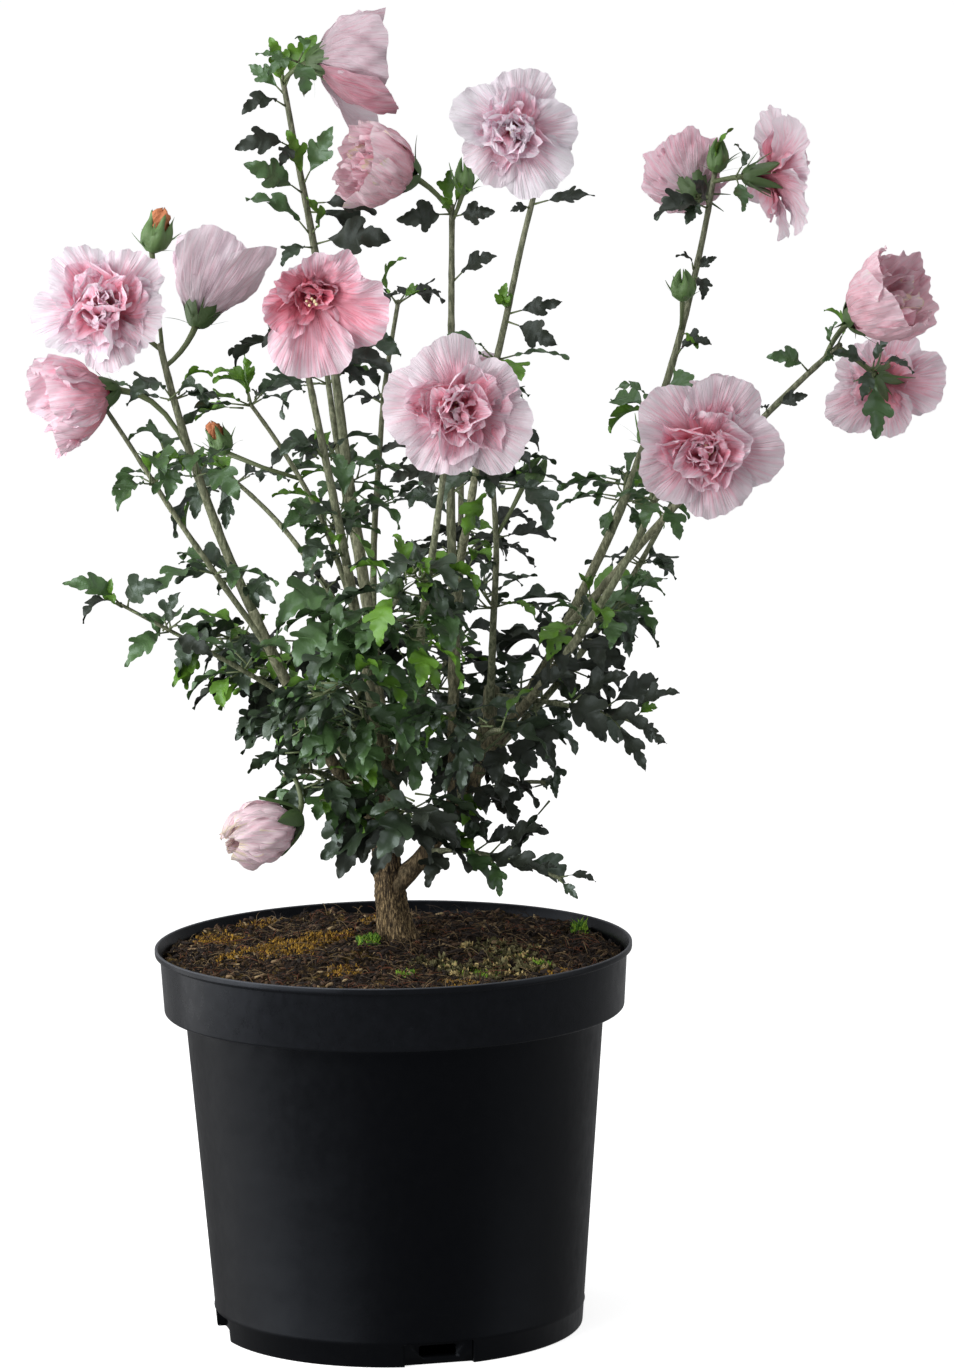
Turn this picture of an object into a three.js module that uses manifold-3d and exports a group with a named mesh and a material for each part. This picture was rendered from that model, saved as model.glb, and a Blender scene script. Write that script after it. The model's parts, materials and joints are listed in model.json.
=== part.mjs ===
// Rose of sharon (Hibiscus syriacus, double pink) in a black nursery pot.
// Millimetres, +Z up. The origin is the centre of the pot's flat underside; the front is -Y.

import * as THREE from 'three';
import { mergeVertices } from 'three/addons/utils/BufferGeometryUtils.js';
import Module from 'manifold-3d';

const wasm = await Module();
wasm.setup();

// ---------- driving dimensions ----------

const pot = {
  height: 228,
  lipRadius: 140,
  lipDepth: 4,
  bandRadiusTop: 137,
  bandRadiusBottom: 135,
  bandDepth: 38,
  bodyRadiusTop: 123,
  footRadius: 108,
  wall: 2.5,
  floor: 4,
  footRing: 11, // the thick foot that the drain slots are cut into
  footRingHeight: 18,
  sides: 32,
};
const drain = { count: 4, firstAngle: -77, width: 41, height: 14, depth: 7, holeWidth: 22, holeHeight: 6 };

const soil = { levelAtWall: 216, mound: 10.7, bump: 4, clear: 0.4 };
const ground = 227; // height of the trunk's flat cut; the soil stops just under it
const clearance = 0.3; // between any two nodes that meet

const trunk = {
  foot: [2, 20, ground],
  tip: [-2, 22, 322],
  bow: [-3, 0, 0],
  radius: [8.9, 7],
  flare: 3.4,
  flareHeight: 14,
  rootLobes: 5,
  sides: 10,
  rings: 8,
};

// Every stem is one curve. It leaves its parent at the share `at`, and runs to `tip`, bowed by `bow` at
// its middle. radius is at its foot and tip. The share up to `bough` is a bare limb of its own; the rest
// is the axis of a leafy shoot, with leaf nodes over the shares in `leafy`.
const stems = [
  { name: 'right_limb', from: 'trunk', at: 0.3, tip: [60, 5, 378], bow: [11, 0, -6],
    radius: [5.4, 4.6], bough: 1 },
  { name: 'left_thick', from: 'trunk', at: 0.62, tip: [-126, -58, 587], bow: [-14, -5, -7],
    radius: [4.2, 1.9], bough: 0.5, leafy: [[0.54, 0.76], [0.9, 1]] },
  { name: 'top_left', from: 'trunk', at: 0.99, tip: [-57, 54, 733], bow: [4, 15, 0],
    radius: [4, 1.6], bough: 0.4, leafy: [[0.42, 0.62], [0.76, 1]] },
  { name: 'mid_left', from: 'trunk', at: 0.88, tip: [-47, -52, 592], bow: [2, -6, 3],
    radius: [3.6, 1.7], bough: 0.5, leafy: [[0.52, 0.94]] },
  { name: 'front_centre', from: 'trunk', at: 0.75, tip: [36, -116, 530], bow: [3, -22, 4],
    radius: [3.2, 1.6], bough: 0.6, leafy: [[0.64, 0.95]] },
  { name: 'centre_tall', from: 'right_limb', at: 0.45, tip: [41, 44, 657], bow: [-1, 14, 0],
    radius: [3.6, 1.6], bough: 0.4, leafy: [[0.42, 0.56], [0.9, 1]] },
  { name: 'bloom_stem', from: 'centre_tall', at: 0.33, tip: [88, -48, 668], bow: [-3, -12, 3],
    radius: [2.6, 1.6], bough: 0.4, leafy: [[0.5, 0.66], [0.88, 1]] },
  { name: 'right_inner', from: 'right_limb', at: 0.72, tip: [157, -66, 500], bow: [7, -10, -5],
    radius: [3.2, 1.7], bough: 0.5, leafy: [[0.54, 0.96]] },
  { name: 'right_tall', from: 'right_limb', at: 0.55, tip: [195, 62, 671], bow: [20, 12, -13],
    radius: [3.6, 1.6], bough: 0.45, leafy: [[0.5, 0.74], [0.86, 0.96]] },
  { name: 'far_right', from: 'right_tall', at: 0.27, tip: [264, -12, 577], bow: [-4, -8, 4],
    radius: [2.7, 1.6], bough: 0.5, leafy: [[0.52, 0.58], [0.86, 1]] },
  { name: 'left_outer', from: 'left_thick', at: 0.42, tip: [-164, -52, 560], bow: [-1, -6, 0],
    radius: [1.9, 1.2], bough: 0, leafy: [[0.3, 1]] },
  { name: 'low_left', from: 'left_thick', at: 0.31, tip: [-154, -50, 438], bow: [1, -5, 2],
    radius: [1.6, 1], bough: 0, leafy: [[0.35, 1]] },
  { name: 'left_inner', from: 'mid_left', at: 0.24, tip: [-79, 30, 544], bow: [10, 4, 5],
    radius: [2, 1.2], bough: 0, leafy: [[0.5, 1]] },
  { name: 'left_back', from: 'top_left', at: 0.1, tip: [-92, 122, 488], bow: [8, 12, 8],
    radius: [2.2, 1.3], bough: 0, leafy: [[0.45, 1]] },
  { name: 'centre_back', from: 'top_left', at: 0.17, tip: [8, 112, 596], bow: [-6, 20, -2],
    radius: [2.2, 1.3], bough: 0, leafy: [[0.42, 1]] },
  { name: 'right_centre', from: 'right_limb', at: 0.88, tip: [62, -64, 508], bow: [3, -5, 2],
    radius: [2.4, 1.4], bough: 0, leafy: [[0.45, 1]] },
  { name: 'low_right', from: 'right_limb', at: 0.22, tip: [98, -48, 273], bow: [-2, -5, 7],
    radius: [1.7, 1], bough: 0, leafy: [[0.3, 1]] },
  { name: 'right_low', from: 'right_limb', at: 0.96, tip: [142, -42, 364], bow: [0, 0, 2],
    radius: [1.9, 1.1], bough: 0, leafy: [[0.3, 1]] },
  { name: 'back_left', from: 'top_left', at: 0.27, tip: [-40, 122, 598], bow: [-4, 14, 4],
    radius: [2.2, 1.5], bough: 0, leafy: [[0.4, 0.95]] },
  { name: 'back_centre', from: 'centre_tall', at: 0.14, tip: [44, 112, 530], bow: [2, 22, 2],
    radius: [2.2, 1.5], bough: 0, leafy: [[0.5, 0.95]] },
  { name: 'back_right', from: 'right_limb', at: 0.64, tip: [182, 104, 500], bow: [12, 22, -8],
    radius: [2.4, 1.5], bough: 0, leafy: [[0.4, 0.95]] },
  { name: 'crown_front', from: 'trunk', at: 0.86, tip: [-22, -84, 392], bow: [0, 0, 12],
    radius: [2, 1.2], bough: 0, leafy: [[0.3, 1]], crown: true },
  { name: 'crown_front_high', from: 'mid_left', at: 0.3, tip: [10, -92, 448], bow: [0, -6, 0],
    radius: [2, 1.2], bough: 0, leafy: [[0.35, 1]], crown: true },
  { name: 'crown_front_left', from: 'left_thick', at: 0.08, tip: [-60, -62, 338], bow: [0, 0, 10],
    radius: [2, 1.2], bough: 0, leafy: [[0.3, 1]], crown: true },
  { name: 'crown_left', from: 'left_thick', at: 0.16, tip: [-82, 36, 406], bow: [0, 0, 8],
    radius: [2, 1.2], bough: 0, leafy: [[0.3, 1]], crown: true },
  { name: 'crown_low_front', from: 'trunk', at: 0.5, tip: [14, -66, 318], bow: [0, 0, 10],
    radius: [1.8, 1.1], bough: 0, leafy: [[0.3, 1]], crown: true },
  { name: 'crown_front_right', from: 'right_limb', at: 0.5, tip: [64, -84, 366], bow: [0, 0, 12],
    radius: [2, 1.2], bough: 0, leafy: [[0.3, 1]], crown: true },
  { name: 'crown_right', from: 'right_limb', at: 0.8, tip: [116, 26, 418], bow: [4, 0, -8],
    radius: [2, 1.2], bough: 0, leafy: [[0.3, 1]], crown: true },
  { name: 'crown_right_low', from: 'right_limb', at: 0.4, tip: [92, 22, 318], bow: [0, 0, 8],
    radius: [1.8, 1.1], bough: 0, leafy: [[0.3, 1]], crown: true },
  { name: 'crown_back', from: 'trunk', at: 0.93, tip: [34, 104, 380], bow: [0, 0, 12],
    radius: [2, 1.2], bough: 0, leafy: [[0.3, 1]], crown: true },
  { name: 'crown_back_left', from: 'trunk', at: 0.7, tip: [-60, 80, 360], bow: [0, 0, 10],
    radius: [2, 1.2], bough: 0, leafy: [[0.3, 1]], crown: true },
];

// Every bloom stands on a flower stalk that leaves its stem at the share `at`. foot is where the petals
// begin, facing is the way its mouth looks, radius is that of its mouth, and depth stretches its outline.
const blooms = [
  { name: 'bloom_top_left', on: 'top_left', at: 0.99, foot: [-34, 38, 742], facing: [0.92, -0.34, -0.1],
    radius: 33, depth: 0.9, kind: 'cup' },
  { name: 'bloom_upper_mid', on: 'centre_tall', at: 0.985, foot: [14, 34, 676], facing: [-0.81, -0.48, 0.3],
    radius: 23, depth: 0.9, kind: 'closed' },
  { name: 'bloom_top_mid', on: 'bloom_stem', at: 0.99, foot: [78, -62, 703], facing: [-0.01, -0.98, 0.2],
    radius: 41, depth: 1, kind: 'open' },
  { name: 'bloom_left', on: 'left_thick', at: 0.99, foot: [-153, -74, 608], facing: [-0.1, -0.98, 0.17],
    radius: 41, depth: 1, kind: 'open' },
  { name: 'bloom_left_behind', on: 'left_thick', at: 0.96, foot: [-104, -30, 602], facing: [0.26, 0.35, 0.88],
    radius: 22, depth: 1, kind: 'cup' },
  { name: 'bloom_mid_left', on: 'mid_left', at: 0.99, foot: [-39, -64, 621], facing: [0.04, -0.94, -0.33],
    radius: 38, depth: 1.1, kind: 'open' },
  { name: 'bloom_low_left', on: 'left_thick', at: 0.8, foot: [-158, -60, 560], facing: [-0.9, -0.32, -0.2],
    radius: 23, depth: 0.9, kind: 'cup' },
  { name: 'bloom_centre', on: 'front_centre', at: 0.99, foot: [44, -128, 556], facing: [-0.03, -0.99, 0.03],
    radius: 44, depth: 1, kind: 'open' },
  { name: 'bloom_right', on: 'right_inner', at: 0.99, foot: [181, -78, 526], facing: [0.12, -0.98, 0.0],
    radius: 43, depth: 1, kind: 'open' },
  { name: 'bloom_right_behind', on: 'right_tall', at: 0.965, foot: [184, 72, 662], facing: [-0.22, 0.88, 0.4],
    radius: 22, depth: 0.7, kind: 'cup' },
  { name: 'bloom_top_right', on: 'right_tall', at: 0.99, foot: [224, 50, 671], facing: [0.96, -0.26, 0.02],
    radius: 42, depth: 1.15, kind: 'open' },
  { name: 'bloom_far_right_up', on: 'far_right', at: 0.95, foot: [274, -22, 594], facing: [0.72, -0.52, 0.42],
    radius: 24, depth: 1, kind: 'closed' },
  { name: 'bloom_far_right_low', on: 'far_right', at: 0.99, foot: [286, 0, 556], facing: [0.3, 0.88, -0.36],
    radius: 38, depth: 1, kind: 'open' },
  { name: 'bloom_lowest', on: 'crown_front_left', at: 0.9, foot: [-58, -74, 313], facing: [-0.86, -0.46, -0.2],
    radius: 21, depth: 0.85, kind: 'closed' },
  { name: 'bloom_back_centre', on: 'back_centre', at: 0.99, foot: [44, 122, 546], facing: [0.05, 0.97, 0.2],
    radius: 38, depth: 1, kind: 'open' },
  { name: 'bloom_back_right', on: 'back_right', at: 0.99, foot: [190, 112, 514], facing: [0.3, 0.93, 0.15],
    radius: 38, depth: 1, kind: 'open' },
  { name: 'bloom_back_left', on: 'back_left', at: 0.99, foot: [-42, 132, 612], facing: [-0.25, 0.94, 0.2],
    radius: 38, depth: 1, kind: 'open' },
];
const stalk = { radius: 1.5, sides: 4, joints: [0, 0.5, 1] };
const jointSpacing = 46; // length of the straight pieces a stem is made of

// Outline of each kind of bloom from its foot on the axis, out to the petals' edge and back to the
// middle: pairs of radius, as a share of the mouth's radius, and height in millimetres.
const bloomOutline = {
  open: [[0, -4], [0.34, 11], [1, 22], [0.96, 25], [0.58, 20], [0.4, 31], [0, 36]],
  cup: [[0, -4], [0.68, 11], [0.97, 30], [1, 48], [0.86, 48], [0.44, 36], [0, 38]],
  closed: [[0, -4], [0.8, 10], [1, 26], [0.8, 41], [0.44, 46], [0, 41]],
};
const petals = { count: 5, cut: { open: 0.07, cup: 0.09, closed: 0.06 }, ruffle: 3, sides: 12 };

// Flower buds, on the shoot of the stem `on`.
const buds = [
  { on: 'left_thick', at: 0.97, foot: [-130, -52, 640], along: [0.3, 0, 0.95], length: 27, radius: 8 },
  { on: 'left_inner', at: 0.7, foot: [-94, 28, 515], along: [-0.38, 0, 0.92], length: 20, radius: 7 },
  { on: 'right_centre', at: 0.75, foot: [80, -60, 504], along: [0.6, 0, 0.8], length: 21, radius: 7 },
  { on: 'right_tall', at: 0.97, foot: [196, 64, 673], along: [0.1, 0.1, 0.97], length: 21, radius: 6.5 },
  { on: 'right_tall', at: 0.77, foot: [175, 42, 600], along: [0, -0.1, 0.98], length: 19, radius: 7.5 },
  { on: 'right_inner', at: 0.95, foot: [150, -44, 524], along: [0.1, 0.1, 0.97], length: 17, radius: 6 },
  { on: 'centre_tall', at: 0.97, foot: [48, 42, 664], along: [0, 0, 1], length: 23, radius: 8 },
  { on: 'crown_front_high', at: 0.9, foot: [4, -96, 446], along: [-0.1, 0, 1], length: 16, radius: 7 },
];

const leaf = {
  length: 46,
  crownLength: 54,
  thickness: 0.9,
  rootThickness: 1.3,
  baseAlong: 0.2, // where the stalk widens into the blade, as shares of the leaf's length
  baseOut: 0.035,
  lobeAlong: 0.46, // the side lobes' tips
  lobeOut: 0.37,
  sinusAlong: 0.6, // the notches between the lobes
  sinusOut: 0.18,
  arch: 0.1,
  droop: 0.16,
  overlap: 10, // how far past the middle between two shoots a leaf's own middle may lie
  simplify: 0.05,
  sunk: 0.4, // how far out its root lies in the stem, as a share of the stem's radius
  drop: 0.3, // how far a leaf hangs from the way it leaves its stem
  crownDrop: 0.55,
  roll: 28,
};
const twig = { radius: 1.5, tipRadius: 0.8, length: 24, crownLength: 36, sides: 3 };
const nodeSpacing = 39; // between leaf nodes along a shoot
const crownSpacing = 24;
const goldenAngle = THREE.MathUtils.degToRad(137.5);
const crownReach = { low: 246, left: -224, right: 330, front: -176, back: 176, top: 776 };

// ---------- colours ----------

const finish = (colour, roughness) => new THREE.MeshStandardMaterial({ color: colour, roughness, metalness: 0 });
const finishes = {
  plastic: finish('#1b1d20', 0.45),
  compost: finish('#3a2a1f', 1),
  bark: finish('#6f6350', 0.9),
  leafage: finish('#2f4a30', 0.5),
  petal: finish('#e9b4c4', 0.7),
};

// ---------- small helpers ----------

const vec = (a) => new THREE.Vector3(...a);
const radians = THREE.MathUtils.degToRad;

// A repeatable number from 0 to 1 for the pair of whole numbers a and b.
function chance(a, b) {
  const s = Math.sin(a * 12.9898 + b * 78.233) * 43758.5453;
  return s - Math.floor(s);
}

function solidOf(geometry) {
  const bare = geometry.clone();
  for (const name of Object.keys(bare.attributes)) if (name !== 'position') bare.deleteAttribute(name);
  const merged = mergeVertices(bare, 1e-4);
  return new wasm.Manifold(new wasm.Mesh({
    numProp: 3,
    vertProperties: new Float32Array(merged.attributes.position.array),
    triVerts: new Uint32Array(merged.index.array),
  }));
}

function meshOf(solid, name, material) {
  const { vertProperties, triVerts, numProp } = solid.getMesh();
  const places = new Float32Array((vertProperties.length / numProp) * 3);
  for (let i = 0; i < places.length / 3; i += 1) {
    places.set(vertProperties.subarray(i * numProp, i * numProp + 3), i * 3);
  }
  const geometry = new THREE.BufferGeometry();
  geometry.setAttribute('position', new THREE.BufferAttribute(places, 3));
  geometry.setIndex(new THREE.BufferAttribute(new Uint32Array(triVerts), 1));
  geometry.computeVertexNormals();
  const mesh = new THREE.Mesh(geometry, material);
  mesh.name = name;
  return mesh;
}

// Drops scraps: the largest body of a solid.
function largestBody(solid) {
  return solid.decompose().reduce((best, body) => (body.volume() > best.volume() ? body : best));
}

// Moves each vertex of a geometry by a rule that takes and changes a Vector3.
function reshape(geometry, rule) {
  const places = geometry.attributes.position;
  const p = new THREE.Vector3();
  for (let i = 0; i < places.count; i += 1) {
    rule(p.fromBufferAttribute(places, i));
    places.setXYZ(i, p.x, p.y, p.z);
  }
  return geometry;
}

// Turns local (x, y, z) to the directions along, side and up that stand on each other, from origin.
function frameAt(origin, along, upHint) {
  const x = along.clone().normalize();
  const y = upHint.clone().cross(x).normalize();
  const z = x.clone().cross(y);
  return new THREE.Matrix4().makeBasis(x, y, z).setPosition(origin);
}

// ---------- limbs ----------

function curveBetween(foot, tip, bow) {
  const control = foot.clone().add(tip).multiplyScalar(0.5).addScaledVector(bow, 2);
  return new THREE.QuadraticBezierCurve3(foot, control, tip);
}

function spread(from, to, count) {
  return [...Array(count + 1)].map((_, i) => from + ((to - from) * i) / count);
}

// A limb is made of straight pieces between the shares of its curve called joints. This solid runs over
// the joints given; grow makes it fatter and longer all round, to cut the gap its neighbours keep.
function limbSolid(limb, joints, grow = 0) {
  const { curve, radiusAt } = limb;
  const chord = curve.getPoint(1).sub(curve.getPoint(0));
  const hint = Math.abs(chord.y) < 0.8 * chord.length() ? new THREE.Vector3(0, 1, 0) : new THREE.Vector3(1, 0, 0);
  const length = curve.getLength();
  const last = joints.length - 1;
  const cylinder = new THREE.CylinderGeometry(1, 1, 1, limb.sides, last);
  return solidOf(reshape(cylinder, (p) => {
    const share = joints[Math.round((p.y + 0.5) * last)];
    const tangent = limb.level ? new THREE.Vector3(0, 0, 1) : curve.getTangent(share);
    const a = hint.clone().cross(tangent).normalize();
    const b = a.clone().cross(tangent);
    const atEnd = Math.abs(p.y) > 0.499 ? Math.sign(p.y) * grow : 0;
    const turn = Math.atan2(p.z, p.x);
    const radius = (radiusAt(share, share * length, turn) + grow) * Math.hypot(p.x, p.z);
    p.copy(curve.getPoint(share)).addScaledVector(tangent, atEnd)
      .addScaledVector(a, Math.cos(turn) * radius).addScaledVector(b, Math.sin(turn) * radius);
  }));
}

// A point on the middle line of a limb's straight pieces.
function limbPoint(limb, share) {
  const i = Math.max(1, limb.joints.findIndex((joint) => joint >= share));
  const [from, to] = [limb.joints[i - 1], limb.joints[i]];
  return limb.curve.getPoint(from).lerp(limb.curve.getPoint(to), (share - from) / (to - from));
}

const limbs = new Map();

function addTrunk() {
  const [footRadius, tipRadius] = trunk.radius;
  limbs.set('trunk', {
    curve: curveBetween(vec(trunk.foot), vec(trunk.tip), vec(trunk.bow)),
    level: true,
    radiusAt: (share, along, turn) => {
      const flare = trunk.flare * Math.exp(-along / trunk.flareHeight);
      return footRadius + (tipRadius - footRadius) * share + flare * (1 + 0.4 * Math.cos(trunk.rootLobes * turn));
    },
    sides: trunk.sides,
    joints: spread(0, 1, trunk.rings),
  });
}

// A stem's joints: those of its bough, then, after the gap, those of its shoot.
function addStem(row) {
  const [footRadius, tipRadius] = row.radius;
  const curve = curveBetween(limbPoint(limbs.get(row.from), row.at), vec(row.tip), vec(row.bow));
  const length = curve.getLength();
  const pieces = (share) => Math.max(2, Math.round((share * length) / jointSpacing));
  const end = row.leafy ? row.bough : 1;
  const shootStart = row.bough ? row.bough + clearance / length : 0;
  const bough = row.bough ? spread(0, end, pieces(end)) : [];
  const shoot = row.leafy ? spread(shootStart, 1, pieces(1 - shootStart)) : [];
  limbs.set(row.name, {
    curve,
    length,
    bough,
    shoot,
    joints: [...bough, ...shoot],
    sides: footRadius > 2.5 ? 6 : 4,
    radiusAt: (share) => footRadius + (tipRadius - footRadius) * share,
  });
}

addTrunk();
stems.forEach(addStem);

// Whole stems a little too large, to keep others off them.
const grown = new Map([...limbs].map(([name, limb]) => [name, limbSolid(limb, limb.joints, clearance + 0.05)]));

function cutClear(solid, cutters) {
  const box = solid.boundingBox();
  const near = cutters.filter((c) => !apart(box, c.boundingBox()));
  return near.length ? largestBody(near.reduce((left, c) => left.subtract(c), solid)) : solid;
}

// ---------- pot and soil ----------

function bodyRadius(height) {
  const shelf = pot.height - pot.bandDepth;
  return pot.footRadius + (pot.bodyRadiusTop - pot.footRadius) * (height / shelf);
}

// The pot's inside from its floor to its lip, drawn in by `inset`.
function potInside(inset, top) {
  const shelf = pot.height - pot.bandDepth;
  const ring = pot.footRingHeight;
  const band = (height) => pot.bandRadiusBottom
    + (pot.bandRadiusTop - pot.bandRadiusBottom) * ((height - shelf) / pot.bandDepth) - pot.wall - inset;
  return [
    [bodyRadius(0) - pot.footRing - inset, pot.floor + inset],
    [bodyRadius(ring) - pot.footRing - inset, ring + inset],
    [bodyRadius(ring + 8) - pot.wall - inset, ring + 8 + inset],
    [bodyRadius(shelf) - pot.wall - inset, shelf + pot.wall + inset],
    [band(shelf) - inset, shelf + pot.wall + inset],
    [band(top), top],
  ];
}

function lathe(outline, sides) {
  const turned = new THREE.LatheGeometry(outline.map(([r, z]) => new THREE.Vector2(r, z)), sides);
  return turned.rotateX(Math.PI / 2); // its axis stands up
}

function makePot() {
  const shelf = pot.height - pot.bandDepth;
  const underLip = pot.height - pot.lipDepth;
  const inside = potInside(0, pot.height).reverse();
  const outline = [
    [0, 0],
    [pot.footRadius, 0],
    [pot.bodyRadiusTop, shelf],
    [pot.bandRadiusBottom, shelf],
    [pot.bandRadiusTop, underLip],
    [pot.lipRadius, underLip],
    [pot.lipRadius, pot.height],
    ...inside,
    [0, pot.floor],
  ];
  let solid = solidOf(lathe(outline, pot.sides));
  for (let i = 0; i < drain.count; i += 1) {
    const turn = radians(drain.firstAngle - 90 + (360 / drain.count) * i);
    const recess = new THREE.BoxGeometry(4 * drain.depth, drain.width, 2 * drain.height);
    recess.translate(pot.footRadius + drain.depth, 0, 0).rotateZ(turn);
    const hole = new THREE.BoxGeometry(4 * pot.footRing, drain.holeWidth, drain.holeHeight);
    hole.translate(pot.footRadius - pot.footRing, 0, pot.floor + 1 + drain.holeHeight / 2).rotateZ(turn);
    solid = solid.subtract(solidOf(recess)).subtract(solidOf(hole));
  }
  return meshOf(solid, 'pot', finishes.plastic);
}

// The compost fills the pot and is mounded towards the trunk, never above the trunk's cut.
function soilHeight(x, y) {
  const away = Math.hypot(x - trunk.foot[0], y - trunk.foot[1]) / pot.bandRadiusTop;
  const lumps = Math.sin(x / 17 + 1) * Math.cos(y / 13) + 0.6 * Math.sin((x + y) / 9);
  const height = soil.levelAtWall + soil.mound * (1 - away ** 2) + soil.bump * lumps * 0.5 * Math.min(1, away * 3);
  return Math.min(height, ground - clearance - 0.05);
}

function makeSoil() {
  const inside = potInside(soil.clear, soil.levelAtWall);
  const wallRadius = inside[inside.length - 1][0];
  const shares = [0.72, 0.44, 0.16];
  const outline = [[0, pot.floor + soil.clear], ...inside, ...shares.map((s) => [s * wallRadius, 999]), [0, 999]];
  const lump = reshape(lathe(outline, pot.sides), (p) => {
    if (p.z > 500) p.z = soilHeight(p.x, p.y);
  });
  return meshOf(solidOf(lump), 'soil', finishes.compost);
}

// ---------- blooms ----------

const up = new THREE.Vector3(0, 0, 1);

const bloomSpaces = blooms.map((row) => ({
  foot: vec(row.foot),
  facing: vec(row.facing).normalize(),
  outline: bloomOutline[row.kind].map(([share, height]) => [share * row.radius, height * row.depth]),
}));

// A bloom's head: its outline turned once round, then lobed into petals whose edges wave up and down.
function headSolid(row, space, seed) {
  const turned = lathe(space.outline, petals.sides);
  const start = 2 * Math.PI * chance(seed, 3);
  reshape(turned, (p) => {
    const turn = Math.atan2(p.y, p.x);
    const out = Math.hypot(p.x, p.y) / row.radius;
    const lobe = 1 - petals.cut[row.kind] * out * Math.cos(petals.count * turn);
    p.x *= lobe;
    p.y *= lobe;
    p.z += petals.ruffle * out ** 3 * Math.sin(2 * turn + start);
  });
  const hint = Math.abs(space.facing.z) < 0.9 ? up : new THREE.Vector3(0, 1, 0);
  const upright = new THREE.Matrix4().makeRotationY(Math.PI / 2); // the outline's axis to local X
  return solidOf(turned.applyMatrix4(frameAt(space.foot, space.facing, hint).multiply(upright)));
}

const stalks = blooms.map((row, i) => {
  const { foot, facing } = bloomSpaces[i];
  const start = limbPoint(limbs.get(row.on), row.at);
  const control = foot.clone().addScaledVector(facing, -0.5 * foot.distanceTo(start));
  return { ...stalk, curve: new THREE.QuadraticBezierCurve3(start, control, foot), radiusAt: () => stalk.radius };
});

// ---------- leaves ----------

// A three-lobed leaf on a short stalk: 18 faces, its root an upright edge that is sunk in the twig.
function leafPoints(length) {
  const at = (along, out, lift) => new THREE.Vector3(along * length, out * length, lift * length);
  const half = leaf.thickness / 2;
  const outline = [
    at(leaf.baseAlong, leaf.baseOut, 0.02),
    at(leaf.lobeAlong, leaf.lobeOut, 0),
    at(leaf.sinusAlong, leaf.sinusOut, leaf.arch * 0.5),
    at(1, 0, -leaf.droop),
  ];
  const mirrored = outline.slice(0, 3).reverse().map((p) => new THREE.Vector3(p.x, -p.y, p.z));
  const middle = at(0.44, 0, leaf.arch);
  return [
    new THREE.Vector3(0, 0, leaf.rootThickness / 2),
    new THREE.Vector3(0, 0, -leaf.rootThickness / 2),
    ...outline,
    ...mirrored,
    middle.clone().setZ(middle.z + half),
    middle.clone().setZ(middle.z - half),
  ];
}
const leafMiddle = 9;
const leafRim = [2, 3, 4, 5, 6, 7, 8];
const leafFaces = [
  [9, 2, 0], [9, 0, 8], [10, 1, 2], [10, 8, 1], [0, 1, 8], [1, 0, 2],
  ...leafRim.slice(1).flatMap((b, i) => [[9, b, leafRim[i]], [10, leafRim[i], b]]),
];

function leafSolid(points) {
  const geometry = new THREE.BufferGeometry();
  geometry.setAttribute('position', new THREE.Float32BufferAttribute(points.flatMap((p) => p.toArray()), 3));
  geometry.setIndex(leafFaces.flat());
  return solidOf(geometry);
}

// ---------- the space of each mass ----------

const masses = stems.filter((row) => row.leafy);
const lines = new Map(masses.map((row) => {
  const { curve } = limbs.get(row.name);
  return [row.name, spread(row.leafy[0][0], 1, 8).map((share) => curve.getPoint(share))];
}));

// How far a point is from the leafy length of a stem.
function leafyDistance(name, point) {
  const line = lines.get(name);
  const segment = new THREE.Line3();
  const nearest = new THREE.Vector3();
  return Math.min(...line.slice(1).map((end, i) => {
    segment.set(line[i], end).closestPointToPoint(point, true, nearest);
    return nearest.distanceTo(point);
  }));
}

// A mass owns the points nearer to its own leafy length than to any other's.
function ownSpace(row, point) {
  const own = leafyDistance(row.name, point) - leaf.overlap;
  return masses.every((rival) => rival === row || leafyDistance(rival.name, point) > own);
}

function inReach(box) {
  const [left, front, low] = box.min;
  const [right, back, top] = box.max;
  const r = crownReach;
  return left > r.left && right < r.right && front > r.front && back < r.back && low > r.low && top < r.top;
}

function apart(boxA, boxB, gap = 0) {
  return [0, 1, 2].some((k) => boxA.min[k] > boxB.max[k] + gap || boxB.min[k] > boxA.max[k] + gap);
}

// All that is made so far, which the leaves of another owner keep clear of.
const obstacles = [];

function addObstacle(owner, solid) {
  obstacles.push({ owner, solid, box: solid.boundingBox() });
}

function isClear(owner, solid) {
  const box = solid.boundingBox();
  return obstacles.every((other) => other.owner === owner || apart(box, other.box, 1)
    || other.solid.minGap(solid, 1) > clearance + 0.1);
}

// Leaves of one mass must not run through each other; at one node their roots may share the stem.
function crosses(solid, others) {
  const box = solid.boundingBox();
  return others.some((other) => !apart(box, other.boundingBox()) && solid.intersect(other).volume() > 0.4);
}

// ---------- leafy shoots ----------

// The directions round a shoot: `turn` about its own line, `rise` up from square to it.
function outward(tangent, turn, rise) {
  const side = new THREE.Vector3(0, 1, 0).cross(tangent);
  if (side.length() < 0.2) side.set(1, 0, 0).cross(tangent);
  side.normalize().applyAxisAngle(tangent, turn);
  return side.multiplyScalar(Math.cos(rise)).addScaledVector(tangent, Math.sin(rise));
}

function tryLeaf(row, pieces, root, along, length, seed, drop) {
  const way = along.clone();
  way.z = way.z * 0.4 - drop - 0.3 * (chance(seed, 11) - 0.5);
  const tilt = up.clone().applyAxisAngle(along, radians(leaf.roll) * 2 * (chance(seed, 12) - 0.5));
  const frame = frameAt(root, way, tilt);
  const points = leafPoints(length).map((p) => p.applyMatrix4(frame));
  if (!ownSpace(row, points[leafMiddle])) return;
  const solid = leafSolid(points);
  if (inReach(solid.boundingBox()) && isClear(row.name, solid) && !crosses(solid, pieces.slice(1))) {
    pieces.push(solid);
  }
}

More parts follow.
